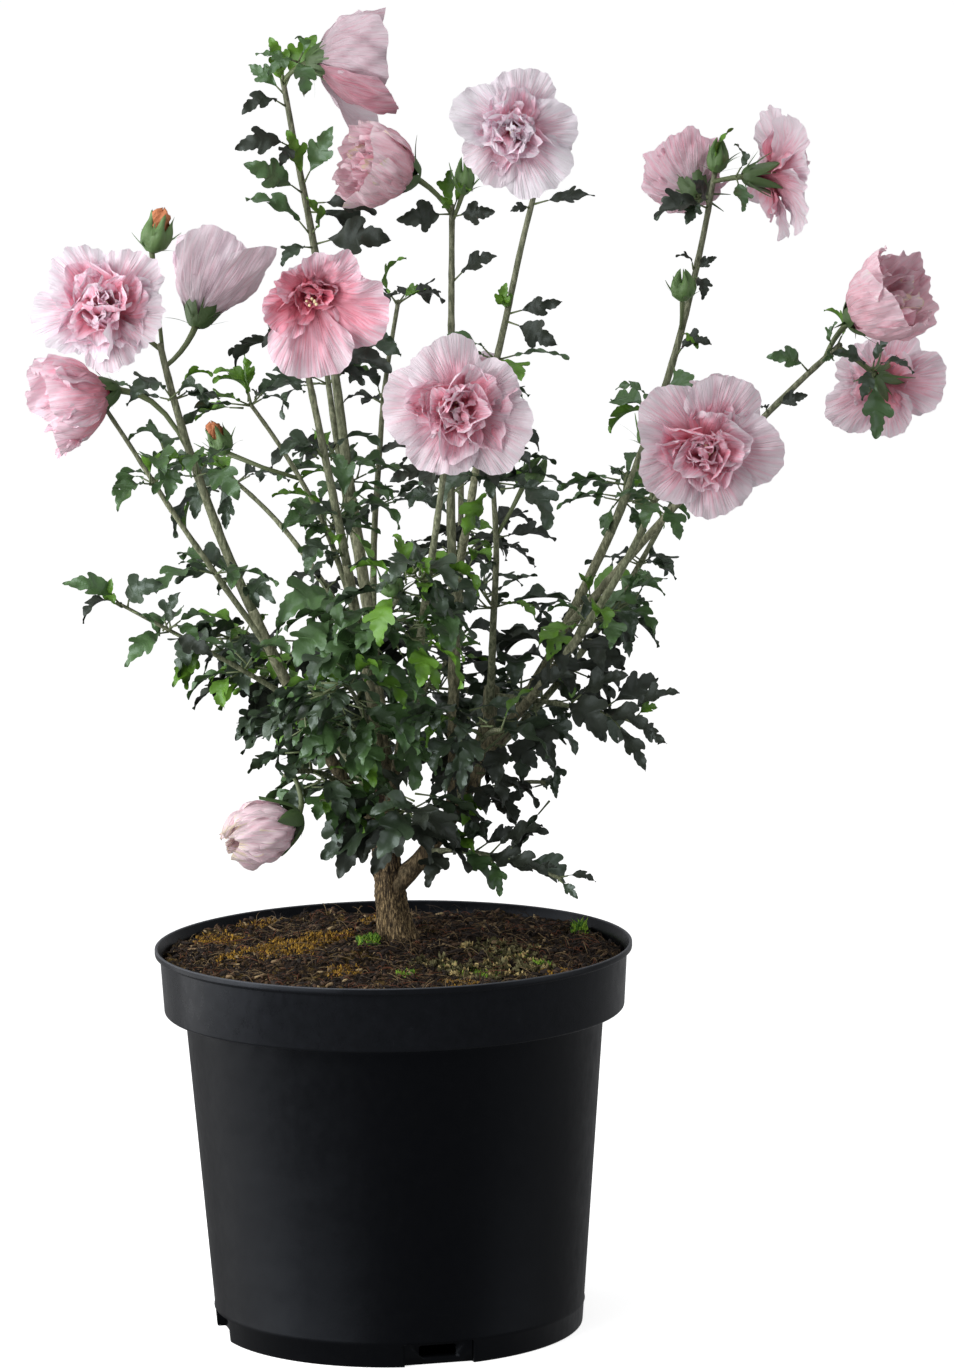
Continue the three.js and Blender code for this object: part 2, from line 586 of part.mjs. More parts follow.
// A twig with three leaves: a thin three-sided rod, its foot in the shoot's stem.
function tryTwig(row, pieces, root, along, length, leafLength, seed, drop) {
  const tip = root.clone().addScaledVector(along, length);
  if (!ownSpace(row, tip)) return;
  const rod = new THREE.CylinderGeometry(twig.tipRadius, twig.radius, length, twig.sides, 1);
  rod.translate(0, length / 2, 0);
  rod.applyQuaternion(new THREE.Quaternion().setFromUnitVectors(new THREE.Vector3(0, 1, 0), along));
  const stem = solidOf(rod.translate(...root.toArray()));
  if (!isClear(row.name, stem) || crosses(stem, pieces.slice(1))) return;
  const grownHere = [...pieces, stem];
  [0.95, 0.66, 0.42].forEach((share, k) => {
    const way = k === 0 ? along : outward(along, seed * 1.7 + k * goldenAngle, radians(30));
    const size = leafLength * (0.85 + 0.25 * chance(seed, k));
    tryLeaf(row, grownHere, root.clone().lerp(tip, share), way, size, seed + 0.3 * k, drop);
  });
  if (grownHere.length > pieces.length + 1) pieces.push(...grownHere.slice(pieces.length));
}

function budSolid(row) {
  const along = vec(row.along).normalize();
  const profile = [[0, 0], [0.85, 0.25], [0.9, 0.6], [0, 1]].map(([r, z]) => [r * row.radius, z * row.length]);
  const body = lathe(profile, 5);
  body.applyQuaternion(new THREE.Quaternion().setFromUnitVectors(up, along)).translate(...row.foot);
  const start = limbPoint(limbs.get(row.on), row.at);
  const end = vec(row.foot).addScaledVector(along, 2);
  const stem = { ...stalk, curve: curveBetween(start, end, new THREE.Vector3()), radiusAt: () => stalk.radius };
  return solidOf(body).add(limbSolid(stem, [0, 1]));
}

function shootPieces(row, seed) {
  const limb = limbs.get(row.name);
  const pieces = [limbSolid(limb, limb.shoot)];
  const spacing = row.crown ? crownSpacing : nodeSpacing;
  const leafLength = row.crown ? leaf.crownLength : leaf.length;
  const reach = row.crown ? twig.crownLength : twig.length;
  const drop = row.crown ? leaf.crownDrop : leaf.drop;
  let node = 0;
  for (const [from, to] of row.leafy) {
    const count = Math.max(2, Math.round(((to - from) * limb.length) / spacing));
    for (let i = 0; i < count; i += 1) {
      const at = Math.min(from + ((to - from) * i) / (count - 1), 0.99);
      const root = limbPoint(limb, at);
      const tangent = limb.curve.getTangent(at);
      const turn = seed + node * goldenAngle;
      if (chance(seed, node) < (row.crown ? 0.7 : 0.42)) {
        const rise = radians(20 + 30 * chance(seed + 7, node));
        const length = reach * (0.6 + 0.6 * chance(seed + 3, node));
        tryTwig(row, pieces, root, outward(tangent, turn, rise), length, leafLength, seed + node, drop);
      }
      [0, Math.PI].forEach((half) => {
        const size = leafLength * (0.8 + 0.3 * chance(seed + half, node));
        const way = outward(tangent, turn + 1.3 + half, radians(20));
        const bark = root.clone().addScaledVector(way, limb.radiusAt(at) * leaf.sunk);
        tryLeaf(row, pieces, bark, way, size, seed + node + half, drop);
      });
      node += 1;
    }
  }
  const tip = limbPoint(limb, 0.985);
  tryLeaf(row, pieces, tip, limb.curve.getTangent(1), leafLength * 0.8, seed, row.crown ? 0.2 : -0.1);
  return pieces;
}

// ---------- the plant ----------

const plant = new THREE.Group();
plant.add(makePot(), makeSoil());

const trunkSolid = limbSolid(limbs.get('trunk'), limbs.get('trunk').joints);
plant.add(meshOf(trunkSolid, 'trunk', finishes.bark));
addObstacle('trunk', trunkSolid);

// Each stem is cut clear of those that were made before it.
const earlier = new Map(stems.map((row, i) => (
  [row.name, [grown.get('trunk'), ...stems.slice(0, i).map((other) => grown.get(other.name))]]
)));
for (const row of stems) {
  const limb = limbs.get(row.name);
  if (limb.bough.length) {
    const bough = cutClear(limbSolid(limb, limb.bough), earlier.get(row.name));
    plant.add(meshOf(bough, `bough_${row.name}`, finishes.bark));
    addObstacle(`bough_${row.name}`, bough);
  }
  if (limb.shoot.length) addObstacle(row.name, cutClear(limbSolid(limb, limb.shoot), earlier.get(row.name)));
}

blooms.forEach((row, i) => {
  const whole = headSolid(row, bloomSpaces[i], i).add(limbSolid(stalks[i], stalk.joints));
  const bloom = cutClear(whole, [...grown.values()]);
  plant.add(meshOf(bloom, row.name, finishes.petal));
  addObstacle(row.name, bloom);
});

const budSolids = buds.map(budSolid);
buds.forEach((row, i) => addObstacle(row.on, budSolids[i]));

masses.forEach((row, i) => {
  const ownBuds = budSolids.filter((_, k) => buds[k].on === row.name);
  const pieces = shootPieces(row, i + 1);
  pieces.forEach((piece) => addObstacle(row.name, piece));
  const whole = cutClear(wasm.Manifold.union([...pieces, ...ownBuds]), earlier.get(row.name));
  const name = row.crown ? row.name : `shoot_${row.name}`;
  plant.add(meshOf(whole.simplify(leaf.simplify), name, finishes.leafage));
});

export default plant;
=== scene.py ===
import json
import math

import bmesh
import bpy
import numpy as np
from mathutils import Matrix, Quaternion, Vector, noise

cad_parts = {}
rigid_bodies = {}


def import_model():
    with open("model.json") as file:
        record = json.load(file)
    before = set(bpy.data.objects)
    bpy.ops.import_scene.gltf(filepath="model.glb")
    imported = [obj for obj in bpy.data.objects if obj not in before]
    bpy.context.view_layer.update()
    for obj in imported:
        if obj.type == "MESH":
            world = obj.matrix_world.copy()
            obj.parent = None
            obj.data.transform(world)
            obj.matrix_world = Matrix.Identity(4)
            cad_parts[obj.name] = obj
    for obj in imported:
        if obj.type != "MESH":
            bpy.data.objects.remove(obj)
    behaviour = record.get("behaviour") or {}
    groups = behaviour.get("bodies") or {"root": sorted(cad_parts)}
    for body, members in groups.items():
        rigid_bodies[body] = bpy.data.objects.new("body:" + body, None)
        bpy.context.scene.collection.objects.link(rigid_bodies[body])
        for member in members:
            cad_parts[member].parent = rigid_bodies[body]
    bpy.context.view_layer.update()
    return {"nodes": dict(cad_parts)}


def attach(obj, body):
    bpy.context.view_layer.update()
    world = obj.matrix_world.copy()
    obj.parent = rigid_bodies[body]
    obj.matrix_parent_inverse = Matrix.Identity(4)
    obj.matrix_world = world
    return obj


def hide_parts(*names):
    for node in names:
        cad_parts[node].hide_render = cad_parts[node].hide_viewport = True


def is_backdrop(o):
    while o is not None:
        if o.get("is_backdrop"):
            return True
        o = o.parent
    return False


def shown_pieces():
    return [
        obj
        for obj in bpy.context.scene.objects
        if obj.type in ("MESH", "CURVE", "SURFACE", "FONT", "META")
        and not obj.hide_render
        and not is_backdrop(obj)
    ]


# Rose of sharon with double pink flowers, in a black nursery pot.
# Sizes and places are in millimetres, and turn to metres where a mesh is made.

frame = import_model()
mm = 0.001
print("frame:", len(frame["nodes"]), "solids")

# ---- camera, light and floor ----

view = {
    "width": 954, "height": 1370, "focal": 6068, "sensor": 36,
    "place": (51.3, -3500, 889.3), "pitch": 8.28, "roll": 0.88,
}
softboxes = [  # name, place, aimed at, width, height, watts
    ("keySide", (-850, 60, 420), (0, 0, 420), 950, 1100, 4.8),
    ("keyFront", (-800, -700, 600), (0, 0, 450), 950, 1300, 14.2),
    ("fillRight", (1300, -480, 620), (0, 0, 420), 900, 1500, 3.2),
    ("overhead", (-150, -200, 1900), (0, 0, 400), 1200, 1200, 8),
]
reflections = [  # low ones that show only in what is glossy
    ("stripLeft", (-880, -190, 150), (0, 0, 150), 560, 420, 2.1),
    ("stripRight", (1000, -250, 150), (0, 0, 150), 900, 420, 0.5),
]
stage = {"floor": 60000, "floorColour": "#f1f1f0", "floorGlow": 0.75, "sky": "#f4f5f7", "skyStrength": 0.34}


def linear(hexColour):
    values = [int(hexColour[i:i + 2], 16) / 255 for i in (1, 3, 5)]
    return tuple(c / 12.92 if c <= 0.04045 else ((c + 0.055) / 1.055) ** 2.4 for c in values) + (1.0,)


def makeCamera():
    pitch, roll = math.radians(view["pitch"]), math.radians(view["roll"])
    level, rise = Vector((1, 0, 0)), Vector((0, math.sin(pitch), math.cos(pitch)))
    forward = Vector((0, math.cos(pitch), -math.sin(pitch)))
    right = level * math.cos(roll) - rise * math.sin(roll)
    top = level * math.sin(roll) + rise * math.cos(roll)
    data = bpy.data.cameras.new("camera")
    data.sensor_width = view["sensor"]
    data.lens = view["focal"] / view["height"] * view["sensor"]
    data.clip_end = 200
    camera = bpy.data.objects.new("camera", data)
    camera.matrix_world = Matrix((right, top, -forward)).transposed().to_4x4()
    camera.location = Vector(view["place"]) * mm
    bpy.context.scene.collection.objects.link(camera)
    bpy.context.scene.camera = camera


def makeLight(name, place, aim, width, height, watts):
    data = bpy.data.lights.new(name, "AREA")
    data.shape, data.size, data.size_y, data.energy = "RECTANGLE", width * mm, height * mm, watts
    lamp = bpy.data.objects.new(name, data)
    lamp.location = Vector(place) * mm
    lamp.rotation_euler = (Vector(aim) - Vector(place)).to_track_quat("-Z", "Y").to_euler()
    lamp.visible_camera = False
    bpy.context.scene.collection.objects.link(lamp)
    return lamp


def makeStage():
    world = bpy.data.worlds.new("studio")
    world.use_nodes = True
    world.node_tree.nodes["Background"].inputs["Color"].default_value = linear(stage["sky"])
    world.node_tree.nodes["Background"].inputs["Strength"].default_value = stage["skyStrength"]
    bpy.context.scene.world = world
    bpy.context.scene.view_settings.view_transform = "Standard"
    bm = bmesh.new()
    bmesh.ops.create_grid(bm, x_segments=1, y_segments=1, size=stage["floor"] / 2 * mm)
    mesh = bpy.data.meshes.new("floor")
    bm.to_mesh(mesh)
    bm.free()
    floor = bpy.data.objects.new("floor", mesh)
    bpy.context.scene.collection.objects.link(floor)
    paint = bpy.data.materials.new("matt paper")
    paint.use_nodes = True
    shader = paint.node_tree.nodes["Principled BSDF"]
    shader.inputs["Base Color"].default_value = linear(stage["floorColour"])
    shader.inputs["Roughness"].default_value = 0.9
    shader.inputs["Specular IOR Level"].default_value = 0.1
    shader.inputs["Emission Color"].default_value = (1, 1, 1, 1)  # paper lit through from below
    shader.inputs["Emission Strength"].default_value = stage["floorGlow"]
    mesh.materials.append(paint)
    floor.visible_glossy = floor.visible_diffuse = False  # as if dark cloths stood round the set
    floor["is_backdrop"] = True


makeCamera()
makeStage()
for softbox in reflections:
    makeLight(*softbox).visible_diffuse = False
for softbox in softboxes:
    makeLight(*softbox)
print("stage: camera, floor and", len(softboxes), "softboxes")

# ---- materials ----


def newMaterial(name, roughness, **sockets):
    material = bpy.data.materials.new(name)
    material.use_nodes = True
    shader = material.node_tree.nodes["Principled BSDF"]
    shader.inputs["Roughness"].default_value = roughness
    for socket, value in sockets.items():
        shader.inputs[socket.replace("_", " ")].default_value = value
    return material, shader


def addNode(material, kind, settings=None, links=None):
    # settings: a colour ramp's stops, the node's attributes, or its sockets by name or number
    # links: socket -> an output. It gives the node's outputs.
    node = material.node_tree.nodes.new("ShaderNode" + kind)
    for key, value in (settings or {}).items():
        if key == "stops":
            elements = node.color_ramp.elements
            while len(elements) < len(value):
                elements.new(0.5)
            for element, (place, colour) in zip(elements, value):
                element.position, element.color = place, linear(colour)
        elif isinstance(key, str) and hasattr(node, key):
            setattr(node, key, value)
        else:
            node.inputs[key].default_value = value
    for key, output in (links or {}).items():
        material.node_tree.links.new(output, node.inputs[key])
    return node.outputs


def link(material, output, socket):
    material.node_tree.links.new(output, socket)


def lumps(size):
    # the scale of a pattern whose lumps are `size` millimetres across
    return 1 / (size * mm)


# ---- meshes from arrays ----


def newObject(name, mesh, material, nodes=()):
    piece = bpy.data.objects.new(name, mesh)
    bpy.context.scene.collection.objects.link(piece)
    if material is not None:
        mesh.materials.append(material)
    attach(piece, "root")
    if nodes:
        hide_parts(*nodes)
    return piece


def shapeOf(bm):
    # a bmesh's points and faces, and the end of it
    points = np.array([v.co[:] for v in bm.verts])
    faces = [[v.index for v in f.verts] for f in bm.faces]
    bm.free()
    return points, faces


def gridSheet(across, along):
    # a flat sheet of quads: its places from -1 to 1 both ways, and its faces
    bm = bmesh.new()
    bmesh.ops.create_grid(bm, x_segments=across, y_segments=along, size=1)
    points, faces = shapeOf(bm)
    return points[:, :2], faces


def smallBall():
    bm = bmesh.new()
    bmesh.ops.create_icosphere(bm, subdivisions=1, radius=1)
    return shapeOf(bm)


def joinedMesh(name, parts):
    # parts: (points, faces) or (points, faces, values), where values holds named numbers for each point
    corners, start = [], 0
    for part in parts:
        corners.extend([[start + c for c in face] for face in part[1]])
        start += len(part[0])
    mesh = bpy.data.meshes.new(name)
    points = np.concatenate([part[0] for part in parts]) * mm
    mesh.from_pydata(points.tolist(), [], corners)
    mesh.polygons.foreach_set("use_smooth", np.ones(len(mesh.polygons), bool))
    if len(parts[0]) > 2:
        onLoop = np.zeros(len(mesh.loops), int)
        mesh.loops.foreach_get("vertex_index", onLoop)
        for key in parts[0][2]:
            values = np.concatenate([part[2][key] for part in parts])
            if values.ndim == 2:
                mesh.uv_layers.new(name=key).uv.foreach_set("vector", values[onLoop].ravel())
            else:
                mesh.attributes.new(key, "FLOAT", "POINT").data.foreach_set("value", values)
    mesh.update()
    return mesh


def triangles(mesh):
    return sum(len(p.vertices) - 2 for p in mesh.polygons)


def ringFaces(rings, sides):
    # quads between rings of points that follow one another
    faces = []
    for i in range(rings - 1):
        for k in range(sides):
            n = (k + 1) % sides
            faces.append([i * sides + k, i * sides + n, (i + 1) * sides + n, (i + 1) * sides + k])
    return faces


def tube(centres, radii, sides, relief=None):
    # a closed tube along points; relief(ring, turn) multiplies its radius
    centres = np.asarray(centres, float)
    rings = len(centres)
    tangents = np.gradient(centres, axis=0)
    tangents /= np.linalg.norm(tangents, axis=1)[:, None]
    side = np.cross(tangents[0], (0, 1, 0) if abs(tangents[0][1]) < 0.9 else (1, 0, 0))
    turns = np.arange(sides) / sides * 2 * math.pi
    points = np.zeros((rings, sides, 3))
    for i in range(rings):
        side = side - tangents[i] * (side @ tangents[i])
        side /= np.linalg.norm(side)
        other = np.cross(tangents[i], side)
        radius = radii[i] * (relief(i, turns) if relief else 1)
        points[i] = centres[i] + (
            np.outer(np.cos(turns) * radius, side) + np.outer(np.sin(turns) * radius, other)
        )
    foot, tip = rings * sides, rings * sides + 1
    last = (rings - 1) * sides
    faces = ringFaces(rings, sides)
    faces += [[foot, (k + 1) % sides, k] for k in range(sides)]
    faces += [[tip, last + k, last + (k + 1) % sides] for k in range(sides)]
    ends = np.array([centres[0], centres[-1] + tangents[-1] * radii[-1] * 0.5])
    return np.concatenate([points.reshape(-1, 3), ends]), faces


# ---- the plant's lines: the same rule as its solids ----

ground = 227
trunk = {
    "foot": (2, 20, ground), "tip": (-2, 22, 322), "bow": (-3, 0, 0), "radius": (8.9, 7),
    "flare": 3.4, "flareHeight": 14, "rootLobes": 5,
}
# A stem leaves its parent at the share `at` and runs to `tip`, bowed by `bow` at its middle. Up to the
# share `bough` it is a bare limb. Leaf nodes lie over the shares in `leafy`. Leaves set one by one are rows
# of share, way, length and tone: `first` come before the rule's leaves, `setLeaves` stand instead of them.
# `small` scales the rule's leaves.
# The dark tone, mostly given to leaves that hang down or sit inside, is partly painted shade.
stems = [
    dict(name="right_limb", parent="trunk", at=0.3, tip=(60, 5, 378), bow=(11, 0, -6),
         radius=(5.4, 4.6), bough=1),
    dict(name="left_thick", parent="trunk", at=0.62, tip=(-126, -58, 587), bow=(-14, -5, -7),
         radius=(4.2, 1.9), bough=0.5, leafy=[(0.54, 0.76), (0.9, 1)]),
    dict(name="top_left", parent="trunk", at=0.99, tip=(-57, 54, 733), bow=(4, 15, 0),
         radius=(4, 1.6), bough=0.4, leafy=[(0.42, 0.62)], first=[
             (0.985, (-0.3, -0.3, 2.6), 34, "fresh"), (0.98, (0.5, -0.2, 2.0), 40, "fresh"),
             (0.97, (-0.8, 0.2, 1.2), 28, "mid"), (0.96, (-0.7, -0.4, -1.0), 36, "dark"),
             (0.9, (-0.9, -0.3, -0.6), 42, "dark"), (0.9, (-0.3, -0.6, -1.4), 27, "dark"),
             (0.84, (0.5, -0.3, 2.4), 42, "mid"), (0.84, (-0.3, -0.3, 2.6), 36, "fresh"),
             (0.83, (-0.9, -0.4, 0.8), 46, "mid"), (0.82, (0.9, -0.2, -0.4), 44, "dark"),
             (0.81, (0.9, 0.1, -1.6), 42, "dark"), (0.77, (-0.9, 0.0, 1.2), 48, "mid"),
             (0.77, (-0.2, -0.5, 2.0), 34, "fresh"), (0.76, (0.9, -0.3, 0.2), 54, "dark"),
             (0.76, (-0.5, -0.5, -0.8), 30, "deep")]),
    dict(name="mid_left", parent="trunk", at=0.88, tip=(-47, -52, 592), bow=(2, -6, 3),
         radius=(3.6, 1.7), bough=0.5, leafy=[(0.52, 0.94)]),
    dict(name="front_centre", parent="trunk", at=0.75, tip=(36, -116, 530), bow=(3, -22, 4),
         radius=(3.2, 1.6), bough=0.6, leafy=[(0.64, 0.95)]),
    dict(name="centre_tall", parent="right_limb", at=0.45, tip=(41, 44, 657), bow=(-1, 14, 0),
         radius=(3.6, 1.6), bough=0.4, leafy=[(0.42, 0.52)], small=0.85, first=[
             (0.985, (-0.8, -0.5, -0.1), 40, "dark"), (0.985, (-0.3, -0.4, 1.2), 16, "fresh"),
             (0.98, (0.8, -0.4, 0.1), 30, "dark"), (0.87, (0.9, -0.2, 0.9), 32, "dark")]),
    dict(name="bloom_stem", parent="centre_tall", at=0.33, tip=(88, -48, 668), bow=(-3, -12, 3),
         radius=(2.6, 1.6), bough=0.4, leafy=[(0.5, 0.6)], small=0.85, first=[
             (0.975, (0.9, -0.3, 0.2), 38, "dark"), (0.97, (-0.8, -0.4, -0.2), 16, "dark"),
             (0.975, (0.6, -0.2, 2.4), 26, "mid"), (0.72, (0.1, -0.5, 2.6), 24, "fresh"),
             (0.72, (-0.4, -0.4, 1.6), 20, "fresh"), (0.71, (0.9, -0.3, 0.4), 34, "dark"),
             (0.7, (0.8, -0.4, -1.2), 36, "dark")]),
    dict(name="right_inner", parent="right_limb", at=0.72, tip=(157, -66, 500), bow=(7, -10, -5),
         radius=(3.2, 1.7), bough=0.5, leafy=[(0.54, 0.96)]),
    dict(name="right_tall", parent="right_limb", at=0.55, tip=(195, 62, 671), bow=(20, 12, -13),
         radius=(3.6, 1.6), bough=0.45, leafy=[(0.5, 0.64)], first=[
             (0.955, (-0.9, -0.4, -0.9), 42, "dark"), (0.95, (-0.3, -0.6, 1.0), 30, "dark"),
             (0.86, (-0.8, -0.4, 0.6), 18, "dark"), (0.86, (0.8, -0.4, 0.9), 19, "dark"),
             (0.855, (0.1, -0.7, -2.2), 24, "dark"), (0.77, (0.4, -0.7, -1.0), 22, "fresh"),
             (0.73, (0.8, -0.5, 0.5), 30, "dark"), (0.72, (0.5, -0.6, -1.8), 38, "mid")]),
    dict(name="far_right", parent="right_tall", at=0.27, tip=(264, -12, 577), bow=(-4, -8, 4),
         radius=(2.7, 1.6), bough=0.5, leafy=[(0.52, 0.58)], first=[
             (0.9, (-0.9, -0.4, 0.6), 34, "mid"), (0.76, (-0.2, -0.6, 0.4), 14, "dark"),
             (0.77, (0.9, -0.3, 0.8), 24, "dark"), (0.97, (-0.3, -0.7, -0.6), 20, "mid"),
             (0.97, (0.2, -0.5, 1.8), 22, "mid")]),
    dict(name="left_outer", parent="left_thick", at=0.42, tip=(-164, -52, 560), bow=(-1, -6, 0),
         radius=(1.9, 1.2), leafy=[(0.3, 1)]),
    dict(name="low_left", parent="left_thick", at=0.31, tip=(-154, -50, 438), bow=(1, -5, 2),
         radius=(1.6, 1), leafy=[(0.3, 0.72)], first=[
             (0.985, (-0.9, -0.3, 0.75), 46, "mid"), (0.97, (-0.75, -0.6, -0.9), 36, "dark"),
             (0.98, (-0.1, -0.4, 2.6), 27, "fresh"), (0.95, (0.75, -0.4, 0.9), 38, "deep"),
             (0.93, (0.5, -0.6, -0.6), 24, "mid"), (0.72, (-0.6, -0.5, -1.6), 44, "mid"),
             (0.7, (0.6, -0.4, -0.9), 36, "dark"), (0.71, (0.2, -0.4, 1.6), 34, "deep")]),
    dict(name="left_inner", parent="mid_left", at=0.24, tip=(-79, 30, 544), bow=(10, 4, 5),
         radius=(2, 1.2), leafy=[(0.5, 1)]),
    dict(name="left_back", parent="top_left", at=0.1, tip=(-92, 122, 488), bow=(8, 12, 8),
         radius=(2.2, 1.3), leafy=[(0.45, 1)]),
    dict(name="centre_back", parent="top_left", at=0.17, tip=(8, 112, 596), bow=(-6, 20, -2),
         radius=(2.2, 1.3), leafy=[(0.42, 1)]),
    dict(name="right_centre", parent="right_limb", at=0.88, tip=(62, -64, 508), bow=(3, -5, 2),
         radius=(2.4, 1.4), leafy=[(0.45, 1)]),
    dict(name="low_right", parent="right_limb", at=0.22, tip=(98, -48, 273), bow=(-2, -5, 7),
         radius=(1.7, 1), leafy=[(0.3, 1)], setLeaves=[
             (0.16, (-0.3, -0.7, -1.7), 40, "dark"), (0.27, (0.6, -0.6, -1.6), 46, "mid"),
             (0.34, (0.5, -0.5, 1.2), 34, "deep"), (0.4, (0.6, 0.5, 0.6), 30, "dark"),
             (0.42, (0.9, -0.7, -0.5), 44, "dark"), (0.24, (0.5, -0.7, 0.7), 40, "deep"),
             (0.5, (0.9, -0.2, 0.5), 44, "dark"), (0.5, (0.2, -0.6, -2.4), 32, "mid"),
             (0.6, (0.8, -0.6, -0.8), 42, "dark"), (0.62, (0.6, -0.4, 1.1), 36, "dark"),
             (0.66, (0.8, 0.3, -1.2), 40, "deep"), (0.68, (0.4, 0.7, 0.4), 26, "dark"),
             (0.8, (0.7, -0.4, -0.2), 17, "dark"), (0.97, (0.9, 0.1, -0.5), 24, "dark"),
             (0.98, (0.6, -0.5, -1.6), 19, "deep")]),
    dict(name="right_low", parent="right_limb", at=0.96, tip=(142, -42, 364), bow=(0, 0, 2),
         radius=(1.9, 1.1), leafy=[(0.3, 1)], setLeaves=[
             (0.3, (0.3, -0.5, -2.0), 46, "dark"), (0.36, (0.5, -0.6, 0.8), 44, "dark"),
             (0.42, (0.6, 0.6, -0.6), 46, "dark"), (0.5, (0.6, -0.5, -1.8), 50, "dark"),
             (0.56, (0.7, -0.4, 1.2), 46, "dark"), (0.6, (0.5, 0.6, -1.6), 44, "deep"),
             (0.7, (0.7, -0.5, -1.0), 48, "dark"), (0.76, (0.8, 0.4, 0.6), 42, "dark"),
             (0.84, (0.6, -0.5, -2.2), 40, "dark"), (0.9, (0.9, -0.2, 0.5), 38, "dark"),
             (0.93, (0.6, 0.6, -1.6), 32, "dark"), (0.98, (0.8, -0.3, -1.5), 26, "dark"),
             (0.99, (0.9, 0.2, 0.9), 17, "fresh")]),
    dict(name="back_left", parent="top_left", at=0.27, tip=(-40, 122, 598), bow=(-4, 14, 4),
         radius=(2.2, 1.5), leafy=[(0.4, 0.95)]),
    dict(name="back_centre", parent="centre_tall", at=0.14, tip=(44, 112, 530), bow=(2, 22, 2),
         radius=(2.2, 1.5), leafy=[(0.5, 0.95)]),
    dict(name="back_right", parent="right_limb", at=0.64, tip=(182, 104, 500), bow=(12, 22, -8),
         radius=(2.4, 1.5), leafy=[(0.4, 0.95)]),
    dict(name="crown_front", parent="trunk", at=0.86, tip=(-22, -84, 392), bow=(0, 0, 12),
         radius=(2, 1.2), leafy=[(0.3, 1)], crown=True),
    dict(name="crown_front_high", parent="mid_left", at=0.3, tip=(10, -92, 448), bow=(0, -6, 0),
         radius=(2, 1.2), leafy=[(0.35, 1)], crown=True),
    dict(name="crown_front_left", parent="left_thick", at=0.08, tip=(-60, -62, 338), bow=(0, 0, 10),
         radius=(2, 1.2), leafy=[(0.3, 1)], crown=True),
    dict(name="crown_left", parent="left_thick", at=0.16, tip=(-82, 36, 406), bow=(0, 0, 8),
         radius=(2, 1.2), leafy=[(0.3, 1)], crown=True),
    dict(name="crown_low_front", parent="trunk", at=0.5, tip=(14, -66, 318), bow=(0, 0, 10),
         radius=(1.8, 1.1), leafy=[(0.3, 1)], crown=True, first=[
             (0.5, (-0.9, -0.3, -2.2), 56, "dark"), (0.62, (-0.6, -0.7, -2.6), 52, "dark"),
             (0.7, (-1.0, 0.1, -1.4), 56, "deep"), (0.8, (0.2, -0.5, -1.0), 50, "dark"),
             (0.9, (-0.4, -0.6, -1.2), 54, "deep"), (0.6, (0.7, -0.3, -1.2), 50, "dark"),
             (0.85, (0.8, -0.3, -1.6), 48, "dark"), (0.98, (0.1, -0.9, -0.4), 50, "dark"),
             (0.97, (-0.7, -0.6, 0.2), 48, "deep"), (0.75, (0.1, -0.7, 0.8), 46, "dark")]),
    dict(name="crown_front_right", parent="right_limb", at=0.5, tip=(64, -84, 366), bow=(0, 0, 12),
         radius=(2, 1.2), leafy=[(0.3, 1)], crown=True),
    dict(name="crown_right", parent="right_limb", at=0.8, tip=(116, 26, 418), bow=(4, 0, -8),
         radius=(2, 1.2), leafy=[(0.3, 1)], crown=True),
    dict(name="crown_right_low", parent="right_limb", at=0.4, tip=(92, 22, 318), bow=(0, 0, 8),
         radius=(1.8, 1.1), leafy=[(0.3, 1)], crown=True),
    dict(name="crown_back", parent="trunk", at=0.93, tip=(34, 104, 380), bow=(0, 0, 12),
         radius=(2, 1.2), leafy=[(0.3, 1)], crown=True),
    dict(name="crown_back_left", parent="trunk", at=0.7, tip=(-60, 80, 360), bow=(0, 0, 10),
         radius=(2, 1.2), leafy=[(0.3, 1)], crown=True),
]
# how far a stem strays from its even curve, at its middle. Without its own seed the draw would follow the clock
wander = {"size": 70, "depth": 1.6, "seed": 1795517296}
noise.seed_set(wander["seed"])
goldenAngle = math.radians(137.5)
reach = {"low": 238, "left": -224, "right": 330, "front": -176, "back": 176, "top": 776}
skirt = {"from": 288, "radius": 84, "slope": 0.62, "middle": (8, 20)}  # the crown's underside widens upward


def chance(a, b):
    # a repeatable number from 0 to 1
    s = math.sin(a * 12.9898 + b * 78.233) * 43758.5453
    return s - math.floor(s)


wholeTurn = 6.283


def between(span, share):
    return span[0] + (span[1] - span[0]) * share


def limbPoint(limb, share):
    foot, control, tip = limb["curve"]
    even = foot * (1 - share) ** 2 + control * 2 * share * (1 - share) + tip * share ** 2
    stray = noise.noise_vector(even / wander["size"] + Vector((limb["seed"], 0, 0)))
    return even + stray * wander["depth"] * math.sin(math.pi * min(max(share, 0), 1))


def limbTangent(limb, share):
    foot, control, tip = limb["curve"]
    return ((control - foot) * (1 - share) + (tip - control) * share).normalized()


def radiusAt(limb, share):
    return between(limb["radius"], share)


def makeLimb(foot, row, seed):
    tip = Vector(row["tip"])
    control = (foot + tip) / 2 + Vector(row["bow"]) * 2
    limb = {"curve": (foot, control, tip), "radius": row["radius"], "seed": seed}
    walk = [limbPoint(limb, i / 40) for i in range(41)]
    limb["length"] = sum((b - a).length for a, b in zip(walk, walk[1:]))
    return limb


limbs = {"trunk": makeLimb(Vector(trunk["foot"]), trunk, 0)}
for number, row in enumerate(stems):
    limbs[row["name"]] = makeLimb(limbPoint(limbs[row["parent"]], row["at"]), row, number + 1)
masses = [row for row in stems if "leafy" in row]
massNodes = [("" if row.get("crown") else "shoot_") + row["name"] for row in masses]
limbWalk = np.array([
    [*limbPoint(limb, i / 60), radiusAt(limb, i / 60)] for limb in limbs.values() for i in range(61)
])
print("lines:", len(limbs), "limbs,", len(masses), "masses")
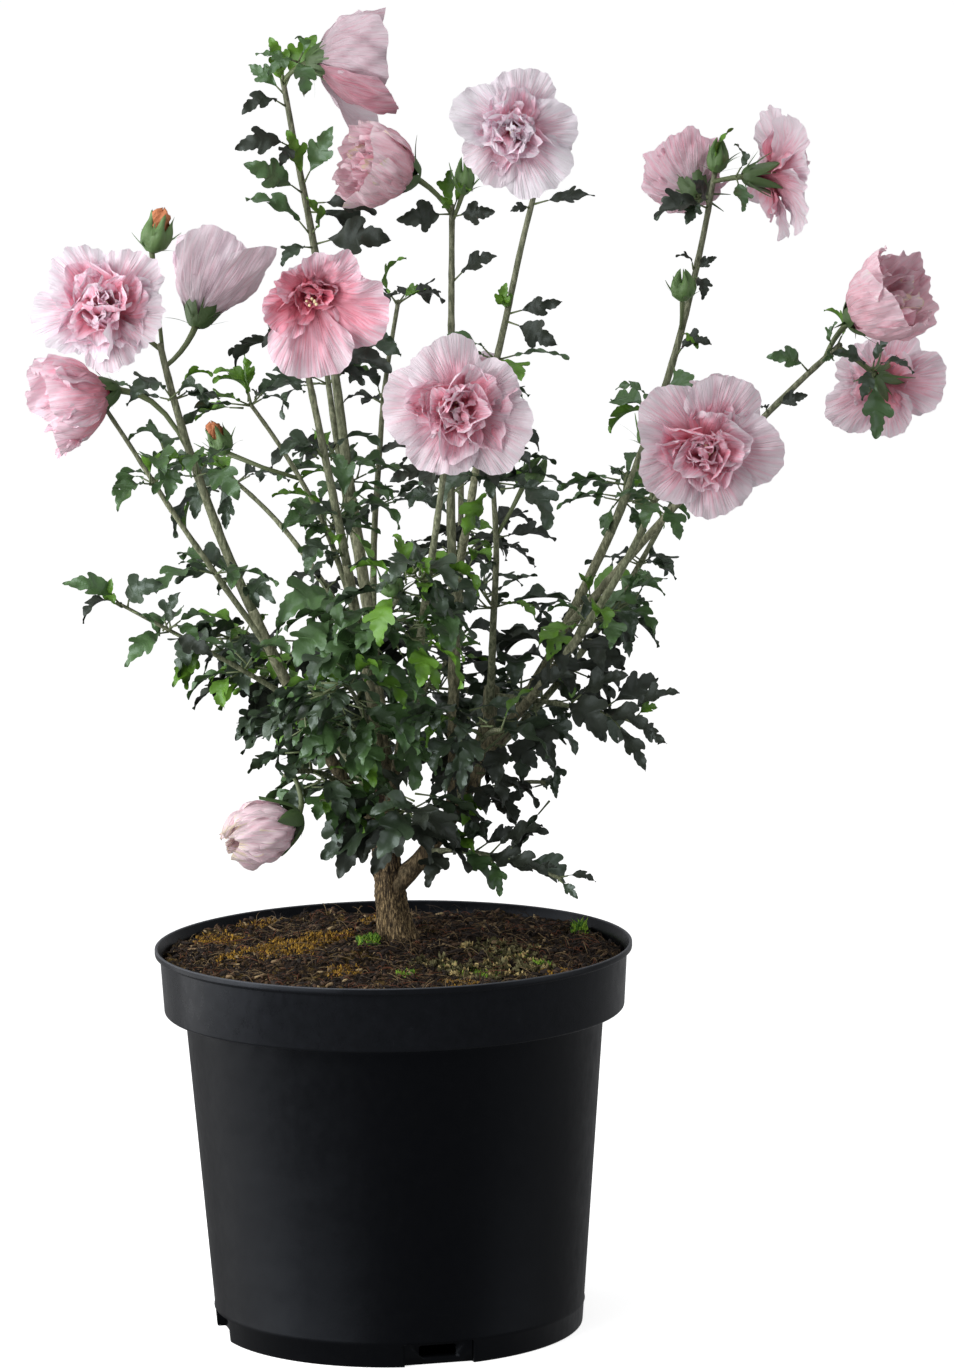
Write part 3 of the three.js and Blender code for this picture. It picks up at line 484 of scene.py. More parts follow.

# ---- flowers: where they stand ----

# Each stands on a stalk from its stem at the share `at`. foot is where the petals begin, facing is the way
# the mouth looks, radius is the mouth's, depth stretches the outline. spin turns the petals round, blush is
# how pink it is, gap is the side where the ruffled middle leaves the dark throat open, if it does. shade
# multiplies the flower's colour: below 1 it is painted shade, above 1 painted light. base is its tone at the
# calyx. own changes single petals: wider, longer, lighter (painted light and shade on that petal), paler.
# full and tuft are how many and how long the middle's petals are, frill how crimped the hem is, and under
# are the leaves beneath it, each a way and a length.
flowers = [
    dict(name="top_left", on="top_left", at=0.99, foot=(-34, 38, 742), facing=(0.95, 0.12, 0.05),
         radius=30, depth=0.92, kind="cup", spin=20, blush=0.5, shade=0.66, base=0.68,
         own={0: (0.92, 0.98, 1.1, 0.1), 1: (0.84, 0.98, 1.0, 0.05), 2: (1.05, 0.94, 1.06, 0.12),
              3: (1.24, 0.98, 0.9, -0.16), 4: (1.75, 0.9, 1.1, 0.16)},
         under=[((-0.5, -0.5, -0.3), 30), ((0.1, -0.5, -0.9), 34), ((-0.2, -0.6, 0.5), 24),
                ((-0.9, 0.1, 0.1), 26)]),
    dict(name="upper_mid", on="centre_tall", at=0.985, foot=(14, 34, 676), facing=(-0.81, -0.48, 0.3),
         radius=25, depth=0.88, kind="closed", spin=0, blush=0.2, shade=1, base=0.4),
    dict(name="top_mid", on="bloom_stem", at=0.99, foot=(78, -62, 703), facing=(-0.01, -0.98, 0.2),
         radius=41, depth=1, kind="open", spin=8, blush=0.1, gap=10, full=0.66, shade=1.03),
    dict(name="left", on="left_thick", at=0.99, foot=(-153, -74, 608), facing=(-0.1, -0.98, 0.17),
         radius=41, depth=1, kind="open", spin=50, blush=0.4, gap=-20, full=1.1, frill=1.7, shade=1.03),
    dict(name="left_behind", on="left_thick", at=0.96, foot=(-104, -30, 602), facing=(0.26, 0.35, 0.88),
         radius=24, depth=1.02, kind="cup", spin=-30, blush=0.0, shade=0.98, base=0.86,
         own={3: (1.5, 1.0, 1, 0)}),
    dict(name="mid_left", on="mid_left", at=0.99, foot=(-39, -64, 621), facing=(0.04, -0.94, -0.33),
         radius=37, depth=1.1, kind="open", spin=-20, blush=1.2, gap=150, full=0.35, shade=0.97,
         own={0: (1.06, 1.06, 1, 0), 1: (1.04, 1, 1, 0.1), 2: (0.78, 0.92, 0.96, -0.06),
              3: (0.9, 0.98, 1, -0.08), 4: (1.16, 1.14, 1.04, 0.12)}),
    dict(name="low_left", on="left_thick", at=0.8, foot=(-158, -60, 560), facing=(-0.9, -0.32, -0.2),
         radius=25, depth=0.88, kind="cup", spin=10, blush=0.3, frill=2.0, tuft=1.5, base=0.3,
         shade=0.98, own={2: (1.1, 1.0, 1, 0), 3: (1.05, 0.9, 1.05, 0.1)}),
    dict(name="centre", on="front_centre", at=0.99, foot=(44, -128, 556), facing=(-0.03, -0.99, 0.03),
         radius=44, depth=1, kind="open", spin=28, blush=0.36, gap=100, full=0.9, shade=0.96),
    dict(name="right", on="right_inner", at=0.99, foot=(181, -78, 526), facing=(0.12, -0.98, 0.0),
         radius=43, depth=1, kind="open", spin=60, blush=0.52, gap=120, full=0.8, shade=0.96),
    dict(name="right_behind", on="right_tall", at=0.965, foot=(184, 72, 662), facing=(-0.22, 0.88, 0.4),
         radius=24, depth=0.72, kind="cup", spin=15, blush=0.5, shade=0.93, base=0.8,
         under=[((-0.3, -0.6, -0.5), 28), ((-0.9, -0.4, -0.5), 36)]),
    dict(name="top_right", on="right_tall", at=0.99, foot=(219, 50, 671), facing=(0.9, 0.34, 0.04),
         radius=42, depth=1.15, kind="open", spin=0, blush=0.36, gap=200, full=0.8, frill=1.6, shade=0.97,
         under=[((-0.2, -0.5, 0.7), 26), ((0.1, -0.6, -0.7), 28)]),
    dict(name="far_right_up", on="far_right", at=0.95, foot=(274, -22, 594), facing=(0.72, -0.52, 0.42),
         radius=26, depth=0.94, kind="closed", spin=40, blush=0.4, shade=1, base=0.54),
    dict(name="far_right_low", on="far_right", at=0.99, foot=(286, 0, 556), facing=(0.3, 0.88, -0.36),
         radius=38, depth=1, kind="open", spin=30, blush=0.62, gap=0, full=0.5, shade=0.97,
         under=[((0.0, -0.35, -1), 42), ((0.8, -0.4, -0.2), 32), ((-0.8, -0.3, 0.3), 30),
                ((-0.3, -0.5, -0.8), 30), ((0.5, -0.3, 0.8), 26)]),
    dict(name="lowest", on="crown_front_left", at=0.9, foot=(-58, -74, 313), facing=(-0.86, -0.46, -0.2),
         radius=19, depth=0.9, kind="closed", spin=70, blush=0.0, shade=1, base=0.72),
    dict(name="back_centre", on="back_centre", at=0.99, foot=(44, 122, 541), facing=(0.05, 0.97, 0.2),
         radius=31, depth=1, kind="open", spin=12, blush=0.4, gap=60),
    dict(name="back_right", on="back_right", at=0.99, foot=(190, 112, 514), facing=(0.3, 0.93, 0.15),
         radius=34, depth=1, kind="open", spin=45, blush=0.6, gap=-60),
    dict(name="back_left", on="back_left", at=0.97, foot=(-42, 130, 590), facing=(-0.25, 0.96, 0.05),
         radius=30, depth=1, kind="open", spin=-10, blush=0.5, gap=180),
]


def flowerFrame(flower):
    facing = Vector(flower["facing"]).normalized()
    hint = Vector((0, 0, 1)) if abs(facing.z) < 0.9 else Vector((0, 1, 0))
    x = facing
    y = hint.cross(x).normalized()
    return np.array([x, y, x.cross(y)]), np.array(flower["foot"], float)


def stalkCurve(flower, count):
    facing, foot = Vector(flower["facing"]).normalized(), Vector(flower["foot"])
    start = limbPoint(limbs[flower["on"]], flower["at"])
    control = foot - facing * 0.5 * (foot - start).length
    shares = [i / (count - 1) for i in range(count)]
    return [start * (1 - s) ** 2 + control * 2 * s * (1 - s) + foot * s ** 2 for s in shares]


# ---- leaves: where they grow ----

growth = {
    "fresh": (0.03, 0.07, 0.2),  # share of young leaves in the shaded masses, the other crown and the stems
    "spacing": 40, "crownSpacing": 26, "length": 50, "crownLength": 60, "drop": 0.3, "crownDrop": 0.6,
    "roll": 28, "sunk": 0.4, "overlap": 10, "twig": 24, "crownTwig": 36,
    "lead": 0.92,  # a spur's first leaf, as a share of the leaf that the solids have there
    "others": (0.6, 0.92),  # and its smaller ones
    "crownOthers": 3, "stemOthers": 2, "tries": 4,
    "sparse": 560,  # above this height a spur has one leaf less
    "window": {"middle": 4, "half": 13, "top": 286, "slant": 0.145},  # where the bare trunk shows
    "clearOfLimb": 1.0, "clearOfLeaf": 3.4, "clearOfPetals": 3,
    "clearings": [((-104, -50, 592), 25)],  # where a calyx shows: centre and radius
}
leafRecords = []  # foot, way, tilt, length, seed, tone
twigTubes = []
placed = []


def leafyDistances(row):
    limb = limbs[row["name"]]
    first = row["leafy"][0][0]
    return np.array([limbPoint(limb, first + (1 - first) * i / 12) for i in range(13)])


leafyLines = [leafyDistances(row) for row in masses]


def ownSpace(row, point):
    # a mass owns the points nearer to its own leafy length than to any other's
    distances = [np.linalg.norm(line - point, axis=1).min() for line in leafyLines]
    own = distances[masses.index(row)] - growth["overlap"]
    return all(d > own for d in distances)


flowerSpaces = [(*flowerFrame(flower), flower) for flower in flowers]


def inPetals(points):
    for axes, foot, flower in flowerSpaces:
        local = (points - foot) @ axes.T
        high, out = local[:, 0], np.hypot(local[:, 1], local[:, 2])
        top = (30 if flower["kind"] == "open" else 50) * flower["depth"]
        wide = flower["radius"] + growth["clearOfPetals"]
        wall = wide * np.clip((high + 8) / 22, 0.3, 1)
        if np.any((high > -14) & (high < top + 6) & (out < wall)):
            return True
    return False


def clearOfAll(points, thin=False):
    low = points.min(0)
    high = points.max(0)
    if low[0] < reach["left"] or high[0] > reach["right"] or low[1] < reach["front"]:
        return False
    if high[1] > reach["back"] or low[2] < reach["low"] or high[2] > reach["top"]:
        return False
    out = np.hypot(points[:, 0] - skirt["middle"][0], points[:, 1] - skirt["middle"][1])
    if np.any(out > skirt["radius"] + skirt["slope"] * (points[:, 2] - skirt["from"])):
        return False
    if inPetals(points):
        return False
    for centre, radius in growth["clearings"]:
        if np.linalg.norm(points - centre, axis=1).min() < radius:
            return False
    before = points[:, 1] < trunk["foot"][1]  # in front of the trunk the leaves keep off its lower part
    window = growth["window"]
    inWay = before & (np.abs(points[:, 0] - window["middle"]) < window["half"])
    if np.any(inWay & (points[:, 2] + window["slant"] * points[:, 1] < window["top"])):
        return False
    if not thin:
        gaps = np.linalg.norm(limbWalk[:, None, :3] - points[None, 1:], axis=2) - limbWalk[:, None, 3]
        if gaps.min() < growth["clearOfLimb"]:
            return False
        if placed:
            near = np.array(placed)
            apart = np.linalg.norm(near[:, None] - points[None, 1:], axis=2).min()
            if apart < growth["clearOfLeaf"]:
                return False
    return True


def outward(tangent, turn, rise):
    # square to the shoot at `turn` about it, raised towards its tip by `rise`
    side = Vector((0, 1, 0)).cross(tangent)
    if side.length < 0.2:
        side = Vector((1, 0, 0)).cross(tangent)
    side.normalize()
    side.rotate(Quaternion(tangent, turn))
    return side * math.cos(rise) + tangent * math.sin(rise)


def tryLeaf(row, foot, along, length, seed, drop, tone, face=None):
    # face: the way its upper side looks, for a leaf that is listed one by one and so needs no test
    way = along.copy()
    way.z = way.z * 0.4 - drop - 0.3 * (chance(seed, 11) - 0.5)
    way.normalize()
    tilt = Vector(face or (0, 0, 1))
    tilt.rotate(Quaternion(along.normalized(), math.radians(growth["roll"]) * 2 * (chance(seed, 12) - 0.5)))
    side = tilt.cross(way).normalized()
    start = np.array(foot)
    ahead, across = np.array(way) * length, np.array(side) * length * 0.3
    points = np.array([start, start + ahead * 0.45, start + ahead * 0.75, start + ahead,
                       start + ahead * 0.5 + across, start + ahead * 0.5 - across])
    if not face and not clearOfAll(points):
        return False
    placed.extend(points[1:])
    leafRecords.append((start, np.array(way), np.array(tilt), length, seed, tone))
    return True


def growSpur(row, foot, along, length, seed, drop, tone):
    # where the solids have one leaf, a spur with a leading leaf and smaller ones at its foot
    middle = np.array(foot + along * length * 0.44)
    if not ownSpace(row, middle):
        return
    tryLeaf(row, foot, along, length * growth["lead"], seed, drop, tone)
    count = growth["crownOthers"] if row.get("crown") else growth["stemOthers"]
    fresh = growth["fresh"][0 if row["name"] in paintedShadeSprays else (1 if row.get("crown") else 2)]
    for k in range(count if foot.z < growth["sparse"] else count - 1):
        size = length * between(growth["others"], chance(seed, 41 + k)) * growth["lead"]
        young = tone if chance(seed, 51 + k) > fresh else "fresh"
        for attempt in range(growth["tries"]):
            turn = seed * 2.3 + k * goldenAngle + attempt * 1.1
            way = outward(along, turn, math.radians(10 + 50 * chance(seed + attempt, 31 + k)))
            if tryLeaf(row, foot + along * length * 0.09 * k, way, size, seed + 0.17 * (k + 1), drop, young):
                break


def growTwig(row, foot, along, length, leafLength, seed, drop, tone):
    tip = foot + along * length
    if not ownSpace(row, np.array(tip)):
        return
    ends = np.array([foot, foot.lerp(tip, 0.5), tip])
    if not clearOfAll(ends, thin=True):
        return
    before = len(leafRecords)
    for k, share in enumerate((0.95, 0.72, 0.5, 0.3)):
        way = along if k == 0 else outward(along, seed * 1.7 + k * goldenAngle, math.radians(30))
        size = leafLength * (0.85 + 0.25 * chance(seed, k))
        young = "fresh" if k == 0 and chance(seed, 78) < 0.2 else tone
        growSpur(row, foot.lerp(tip, share), way, size, seed + 0.3 * k, drop, young)
    if len(leafRecords) > before:
        sag = Vector((0, 0, -0.06 * length))
        line = [foot, foot.lerp(tip, 0.5) + sag * 0.3, tip]
        twigTubes.append((line, (1.1, 0.8, 0.55)))


def growShoot(row, seed):
    limb = limbs[row["name"]]
    crown = row.get("crown", False)
    spacing = growth["crownSpacing"] if crown else growth["spacing"]
    length = (growth["crownLength"] if crown else growth["length"]) * row.get("small", 1)
    twig = growth["crownTwig"] if crown else growth["twig"]
    drop = growth["crownDrop"] if crown else growth["drop"]
    node = 0
    for first, last in row["leafy"]:
        count = max(2, math.floor((last - first) * limb["length"] / spacing + 0.5))
        for i in range(count):
            at = min(first + (last - first) * i / (count - 1), 0.99)
            foot, tangent = limbPoint(limb, at), limbTangent(limb, at)
            turn = seed + node * goldenAngle
            tone = toneOf(row, seed + node)
            if chance(seed, node) < (0.95 if crown else 0.45):
                rise = math.radians(20 + 30 * chance(seed + 7, node))
                long = twig * (0.6 + 0.6 * chance(seed + 3, node))
                growTwig(row, foot, outward(tangent, turn, rise), long, length, seed + node, drop, tone)
            high = 1.2 if foot.z > growth["sparse"] else 1  # the highest leaves are larger
            for half in (0, math.pi):
                size = length * (0.8 + 0.3 * chance(seed + half, node)) * high
                way = outward(tangent, turn + 1.3 + half, math.radians(20))
                bark = foot + way * radiusAt(limb, at) * growth["sunk"]
                growSpur(row, bark, way, size, seed + node + half, drop, tone)
            node += 1
    tip, end = limbPoint(limb, 0.985), limbTangent(limb, 1)
    growSpur(row, tip, end, length * 0.8, seed, 0.2 if crown else -0.1, "fresh")


# sprays inside, behind and to the right, where the crown is shaded: their leaves get the darkest green as painted
# shade
paintedShadeSprays = {"crown_right", "crown_right_low", "crown_front_right", "right_low", "low_right", "crown_back",
            "crown_back_left", "back_right", "back_centre", "centre_back", "left_back", "crown_low_front"}


def toneOf(row, seed):
    # the colour of a whole spray: black-green inside, behind and on the right, partly painted shade, and mid green
    # in front
    draw = chance(seed, 61)
    if row["name"] in paintedShadeSprays:
        return "dark" if draw < 0.8 else "deep"
    if row.get("crown"):
        return "deep" if draw < 0.42 else ("dark" if draw < 0.64 else "mid")
    return "deep" if draw < 0.46 else ("dark" if draw < 0.58 else "mid")


for number, row in enumerate(masses):
    for at, way, size, tone in row.get("setLeaves", row.get("first", ())):
        limb, way = limbs[row["name"]], Vector(way)
        foot = limbPoint(limb, at) + way.normalized() * radiusAt(limb, at)
        tryLeaf(row, foot, way, size, number + at * 9, 0, tone, face=(0, -0.8, 0.6))
for number, row in enumerate(masses):
    if "setLeaves" not in row:
        growShoot(row, number + 1)
for number, flower in enumerate(flowers):
    for k, (way, length) in enumerate(flower.get("under", ())):
        foot = Vector(flower["foot"]) - Vector(flower["facing"]).normalized() * 13
        tone = "mid" if chance(number, k) < 0.5 else "deep"
        leafRecords.append((np.array(foot), np.array(Vector(way).normalized()), np.array((0.1, -0.5, 0.85)),
                            length, number * 3.7 + k, tone))
print("growth:", len(leafRecords), "leaves,", len(twigTubes), "twigs")

# ---- leaves: their shape ----

leafShape = {
    # half of the blade's outline: share of its length, and half width as a share of it
    "outline": [(0, 0.012), (0.07, 0.04), (0.15, 0.09), (0.22, 0.145), (0.28, 0.185), (0.32, 0.19),
                (0.35, 0.225), (0.39, 0.265), (0.44, 0.27), (0.465, 0.3), (0.51, 0.325), (0.565, 0.325),
                (0.605, 0.295), (0.615, 0.25), (0.585, 0.21), (0.575, 0.165), (0.6, 0.145), (0.635, 0.165),
                (0.68, 0.19), (0.72, 0.18), (0.735, 0.15), (0.77, 0.145), (0.82, 0.145), (0.85, 0.12),
                (0.865, 0.09), (0.91, 0.08), (0.95, 0.055), (0.975, 0.035), (1, 0)],
    "midrib": [0, 0.06, 0.12, 0.17, 0.21, 0.24, 0.27, 0.3, 0.33, 0.36, 0.39, 0.42, 0.45, 0.47, 0.49, 0.51,
               0.54, 0.57, 0.61, 0.65, 0.68, 0.72, 0.76, 0.8, 0.84, 0.88, 0.93, 0.965, 1],
    "stalk": 0.25, "stalkRadii": (0.75, 0.55, 0.5),  # the stalk as a share of the whole, and how thick it is
    "bend": (0.5, 2.1), "fold": (0.1, 0.65), "wave": 0.035, "twist": 0.8, "broad": (0.62, 1.02),
}
leafTones = {  # common colours of the blades, dealt out by spray: name, colour, roughness, shine
    # dark is partly the leaves' own deep green and partly painted shade
    "dark": ("leaf in shade", "#30352c", 0.46, 0.35),
    "deep": ("old leaf", "#3b4a36", 0.35, 0.62),
    "mid": ("leaf", "#4a673b", 0.35, 0.65),
    "fresh": ("young leaf", "#5d8728", 0.42, 0.5),
}


def leafSheet():
    # one flat blade: rows along it, five points across
    places, faces = gridSheet(4, len(leafShape["outline"]) - 1)
    last = len(leafShape["outline"]) - 1
    station = np.round((places[:, 1] + 1) / 2 * last).astype(int)
    across = places[:, 0]
    outline, midrib = np.array(leafShape["outline"]), np.array(leafShape["midrib"])
    share = np.abs(across)
    along = midrib[station] * (1 - share) + outline[station, 0] * share
    out = outline[station, 1] * across
    return along, out, across, np.array(faces)


def makeLeaves():
    along, out, across, faces = leafSheet()
    count = len(along)
    pieces = {}
    for tone in leafTones:
        rows = [r for r in leafRecords if r[5] == tone]
        foot, way, tilt, length, seeds = (np.array([r[i] for r in rows]) for i in range(5))
        draw = [np.array([chance(s, 71 + k) for s in seeds])[:, None] for k in range(6)]
        bend = between(leafShape["bend"], draw[0])
        fold = between(leafShape["fold"], draw[1])
        twist = leafShape["twist"] * 2 * (draw[2] - 0.5)
        blade = length[:, None] * (1 - leafShape["stalk"])
        x, y = along[None] * np.ones_like(bend), out[None] * between(leafShape["broad"], draw[3])
        # lift from the fold, the waved edge and a quilted middle, all as shares of the blade
        phase = 6.3 * draw[5] + 1.5 * np.sign(across)[None]
        wave = leafShape["wave"] * np.sin(x * (13 + 5 * draw[4]) + phase)
        lift = fold * np.abs(y) + wave * np.abs(across)[None] ** 1.5 * 1.3
        lift += 0.02 * np.sin(x * 24) * (np.abs(across)[None] > 0.4) * (np.abs(across)[None] < 0.6)
        turn = twist * x
        y, lift = y * np.cos(turn) - lift * np.sin(turn), y * np.sin(turn) + lift * np.cos(turn)
        bow = bend * x  # the blade curves down along its length
        forward = np.sin(bow) / bend + lift * np.sin(bow)
        height = -(1 - np.cos(bow)) / bend + lift * np.cos(bow)
        side = np.cross(tilt, way)
        side /= np.linalg.norm(side, axis=1)[:, None]
        upward = np.cross(way, side)
        # the leaf leaves its twig more steeply than it ends, so that it arches over
        lean = np.clip(bend[:, 0] * 0.5, 0, 1)
        first = way * np.cos(lean)[:, None] + upward * np.sin(lean)[:, None]
        above = upward * np.cos(lean)[:, None] - way * np.sin(lean)[:, None]
        base = foot + first * (length * leafShape["stalk"])[:, None]
        points = base[:, None] + (forward * blade)[..., None] * first[:, None]
        points += (y * blade)[..., None] * side[:, None] + (height * blade)[..., None] * above[:, None]
        for start, end in zip(foot, base):
            twigTubes.append(([start, start * 0.5 + end * 0.5, end], leafShape["stalkRadii"]))
        offsets = np.arange(len(rows))[:, None, None] * count
        corners = (faces[None] + offsets).reshape(-1, 4).tolist()
        mesh = joinedMesh("leaves_" + tone, [(points.reshape(-1, 3), corners)])
        pieces[tone] = mesh
        print("leaves", tone, len(rows), "triangles", triangles(mesh))
    return pieces


leafMeshes = makeLeaves()


def leafMaterial(name, colour, roughness, shine):
    # a waxed leaf: a plain green with a satin shine, its face faintly puckered between the veins
    material, shader = newMaterial(name, roughness, Specular_IOR_Level=shine,
                                   Specular_Tint=(0.86, 0.98, 1.0, 1.0))
    shader.inputs["Base Color"].default_value = linear(colour)
    spot = addNode(material, "TexCoord")["Object"]
    pucker = addNode(material, "TexNoise", {"Scale": lumps(3.2), "Detail": 2}, {"Vector": spot})[0]
    bump = addNode(material, "Bump", {"Distance": 0.5 * mm, "Strength": 0.7}, {"Height": pucker})[0]
    link(material, bump, shader.inputs["Normal"])
    return material


for tone, mesh in leafMeshes.items():
    nodes = massNodes if tone == "dark" else ()
    newObject("leaves_" + tone, mesh, leafMaterial(*leafTones[tone]), nodes)

# ---- flowers: petals ----

petalKinds = {
    # line: the middle of a petal from its foot to its edge, as a cubic Bezier of (share of the mouth's
    # radius, height). wide: half its angle round the axis. round: how far its corners draw in. layer: how
    # far its one edge lies over the next petal
    "open": {"line": [(0.03, -3), (0.14, 15), (0.45, 12), (1.0, 18)], "wide": 52, "round": 0.27,
             "layer": 2.8, "ruffle": 1.7, "crimp": 0.6, "crumple": 0.7, "twist": 4, "curl": 2.0, "loose": 0.05},
    "cup": {"line": [(0.05, -3), (0.6, 2), (1.16, 22), (0.88, 47)], "wide": 56, "round": 0.22,
            "layer": 3.0, "ruffle": 2.0, "crimp": 0.7, "crumple": 1.0, "twist": 14, "curl": 0.6, "loose": 0.12},
    "trumpet": {"line": [(0.03, -3), (0.2, 16), (0.5, 22), (1.0, 30)], "wide": 50, "round": 0.22,
                "layer": 2.8, "ruffle": 2.4, "crimp": 0.5, "crumple": 1.1, "twist": 6, "curl": 1.0, "loose": 0.1},
    "wilting": {"line": [(0.05, -3), (0.8, 0), (1.15, 26), (0.78, 43)], "wide": 56, "round": 0.14,
                "layer": 3.2, "ruffle": 2.0, "crimp": 0.9, "crumple": 1.0, "twist": 20, "curl": 2.5, "loose": 0.1},
    "closed": {"line": [(0.05, -3), (0.95, 0), (1.3, 34), (0.1, 46)], "wide": 62, "round": 0.2,
               "layer": 3.6, "ruffle": 1.2, "crimp": 0.6, "crumple": 1.6, "twist": 34, "curl": 0.0, "loose": 0.16},
}
petalCount = 5
sheets = {
    "outer": gridSheet(44, 22), "inner": gridSheet(16, 14), "calyx": gridSheet(4, 8), "bract": gridSheet(2, 6),
}
ruff = {
    # rings of small petals in the middle: how many, their lean from the open petals' plane in degrees,
    # length and half width as shares of the mouth's radius
    "open": [(7, (8, 28), (0.48, 0.64), 0.33), (7, (22, 48), (0.4, 0.58), 0.32),
             (6, (42, 72), (0.34, 0.46), 0.3), (4, (84, 122), (0.26, 0.34), 0.26)],
    "trumpet": [(3, (30, 50), (0.6, 0.75), 0.34), (4, (45, 65), (0.45, 0.6), 0.28),
                (3, (60, 84), (0.3, 0.4), 0.2)],
    "cup": [(6, (52, 70), (0.8, 1.05), 0.36), (5, (68, 85), (0.75, 0.95), 0.3)],
    "wilting": [(7, (60, 72), (1.0, 1.25), 0.4), (5, (70, 84), (1.1, 1.4), 0.36),
                (3, (80, 96), (1.1, 1.3), 0.3)],
    "closed": [(4, (70, 84), (1.3, 1.6), 0.4)],
}
looks = {"mid_left": "trumpet", "upper_mid": "wilting", "far_right_up": "wilting"}  # not their solid's kind


def lookOf(flower):
    return looks.get(flower["name"], flower["kind"])


def bezier(line, t):
    a, b, c, d = (np.array(p, float) for p in line)
    t = np.asarray(t)[:, None]
    place = a * (1 - t) ** 3 + 3 * b * t * (1 - t) ** 2 + 3 * c * t ** 2 * (1 - t) + d * t ** 3
    pace = 3 * (b - a) * (1 - t) ** 2 + 6 * (c - b) * t * (1 - t) + 3 * (d - c) * t ** 2
    return place, pace


def crumpled(u, v, seed, depth):
    # soft uneven creases over a petal
    waves = sum(
        np.sin(u * (3.1 + 2.3 * k) + v * (4.7 + 3.1 * k) * (1 if k % 2 else -1)
               + 6.3 * chance(seed, 80 + k)) / (k + 1)
        for k in range(4)
    )
    return depth * waves * v


def intoBloom(flower, out, turn, high, sideways=0):
    axes, foot = flowerFrame(flower)
    cos, sin = np.cos(turn), np.sin(turn)
    local = np.stack([high, out * cos - sideways * sin, out * sin + sideways * cos])
    return foot + local.T @ axes


def outerPetal(flower, kind, number, seed):
    places, faces = sheets["outer"]
    u, v = places[:, 0], (places[:, 1] + 1) / 2
    size = flower["radius"]
    edge = np.clip((v - 0.3) / 0.7, 0, 1) ** 2
    hem = np.clip((v - 0.72) / 0.28, 0, 1) ** 2  # the crimped outer few millimetres
    ends = 1 - kind["round"] * np.abs(u) ** 2.6 - 0.1 * chance(seed, 1)
    ends = ends + 0.018 * np.sin(u * 5 + 6 * chance(seed, 2))
    wider, longer, paintedLight, paler = flower.get("own", {}).get(number, (1, 1, 1, 0))
    place, pace = bezier(kind["line"], v * ends * longer)
    out, high = place[:, 0] * size, place[:, 1] * flower["depth"]
    out = out * (1 + ((wider - 1) + kind["loose"] * 2 * (chance(seed, 12) - 0.5)) * v ** 1.5)
    slope = np.stack([pace[:, 0] * size, pace[:, 1] * flower["depth"]], 1)
    slope /= np.linalg.norm(slope, axis=1)[:, None]
    sides = np.abs(u) ** 4 * np.sin(v * 11 + 6 * chance(seed, 6)) * v
    waves = np.sin(u * 3.6 + 6.3 * chance(seed, 3)) + 0.5 * np.sin(u * 8.5 + 6.3 * chance(seed, 4))
    lift = kind["ruffle"] * edge * waves * 0.75 + kind["layer"] * u * v + kind["ruffle"] * 0.5 * sides
    frill = flower.get("frill", 1)
    crimps = np.sin(u * 17 + 6.3 * chance(seed, 5)) + 0.7 * np.sin(u * 29 + 6 * chance(seed, 11))
    lift += kind["crimp"] * frill * hem * crimps
    lift += 0.2 * v * np.sin(u * 31 + 2 * np.sin(3 * v + seed))  # fine pleats from foot to hem
    lift += crumpled(u * 2, v * 2, seed, kind["crumple"])
    lift -= kind["curl"] * np.clip((v - 0.75) / 0.25, 0, 1) ** 2 * 2 * chance(seed, 7)
    lift *= min(1, 0.25 + 0.75 * size / 40)  # smaller flowers have smaller ruffles
    nicks = 0.45 * np.cos(u * 23 + 6 * chance(seed, 8)) + 0.3 * np.cos(u * 41 + seed)
    out = out - slope[:, 1] * lift + frill * hem * nicks
    high = high + slope[:, 0] * lift
    turn = math.radians(flower["spin"] + 360 / petalCount * number + 14 * (chance(seed, 9) - 0.5))
    turn = turn + u * math.radians(kind["wide"]) * (0.88 + 0.12 * v) + math.radians(kind["twist"]) * v ** 1.5
    points = intoBloom(flower, np.maximum(out, 0.3), turn, high)
    blush = flower["blush"] + 0.2 * (chance(seed, 10) - 0.5)
    tone = np.where(v < 0.2, v, 0.2 + np.maximum(v - 0.2, 0) ** 0.7 * (0.97 - 0.42 * blush))
    if lookOf(flower) not in ("open", "trumpet"):
        base = flower.get("base", 0.42)
        tone = base + (0.86 - 0.34 * blush - base) * v ** 0.8
    tone = tone + 0.08 * np.abs(u) ** 3 * v + 0.08 * hem + paler
    # the flower's shade and the petal's own lighter factor paint light and shade into its colour
    light = flower.get("shade", 1.0) * paintedLight * (1 + 0.06 * (chance(seed, 13) - 0.5))
    return points, faces, tone, np.stack([u * size * math.radians(kind["wide"]), v * size * 1.2], 1), light


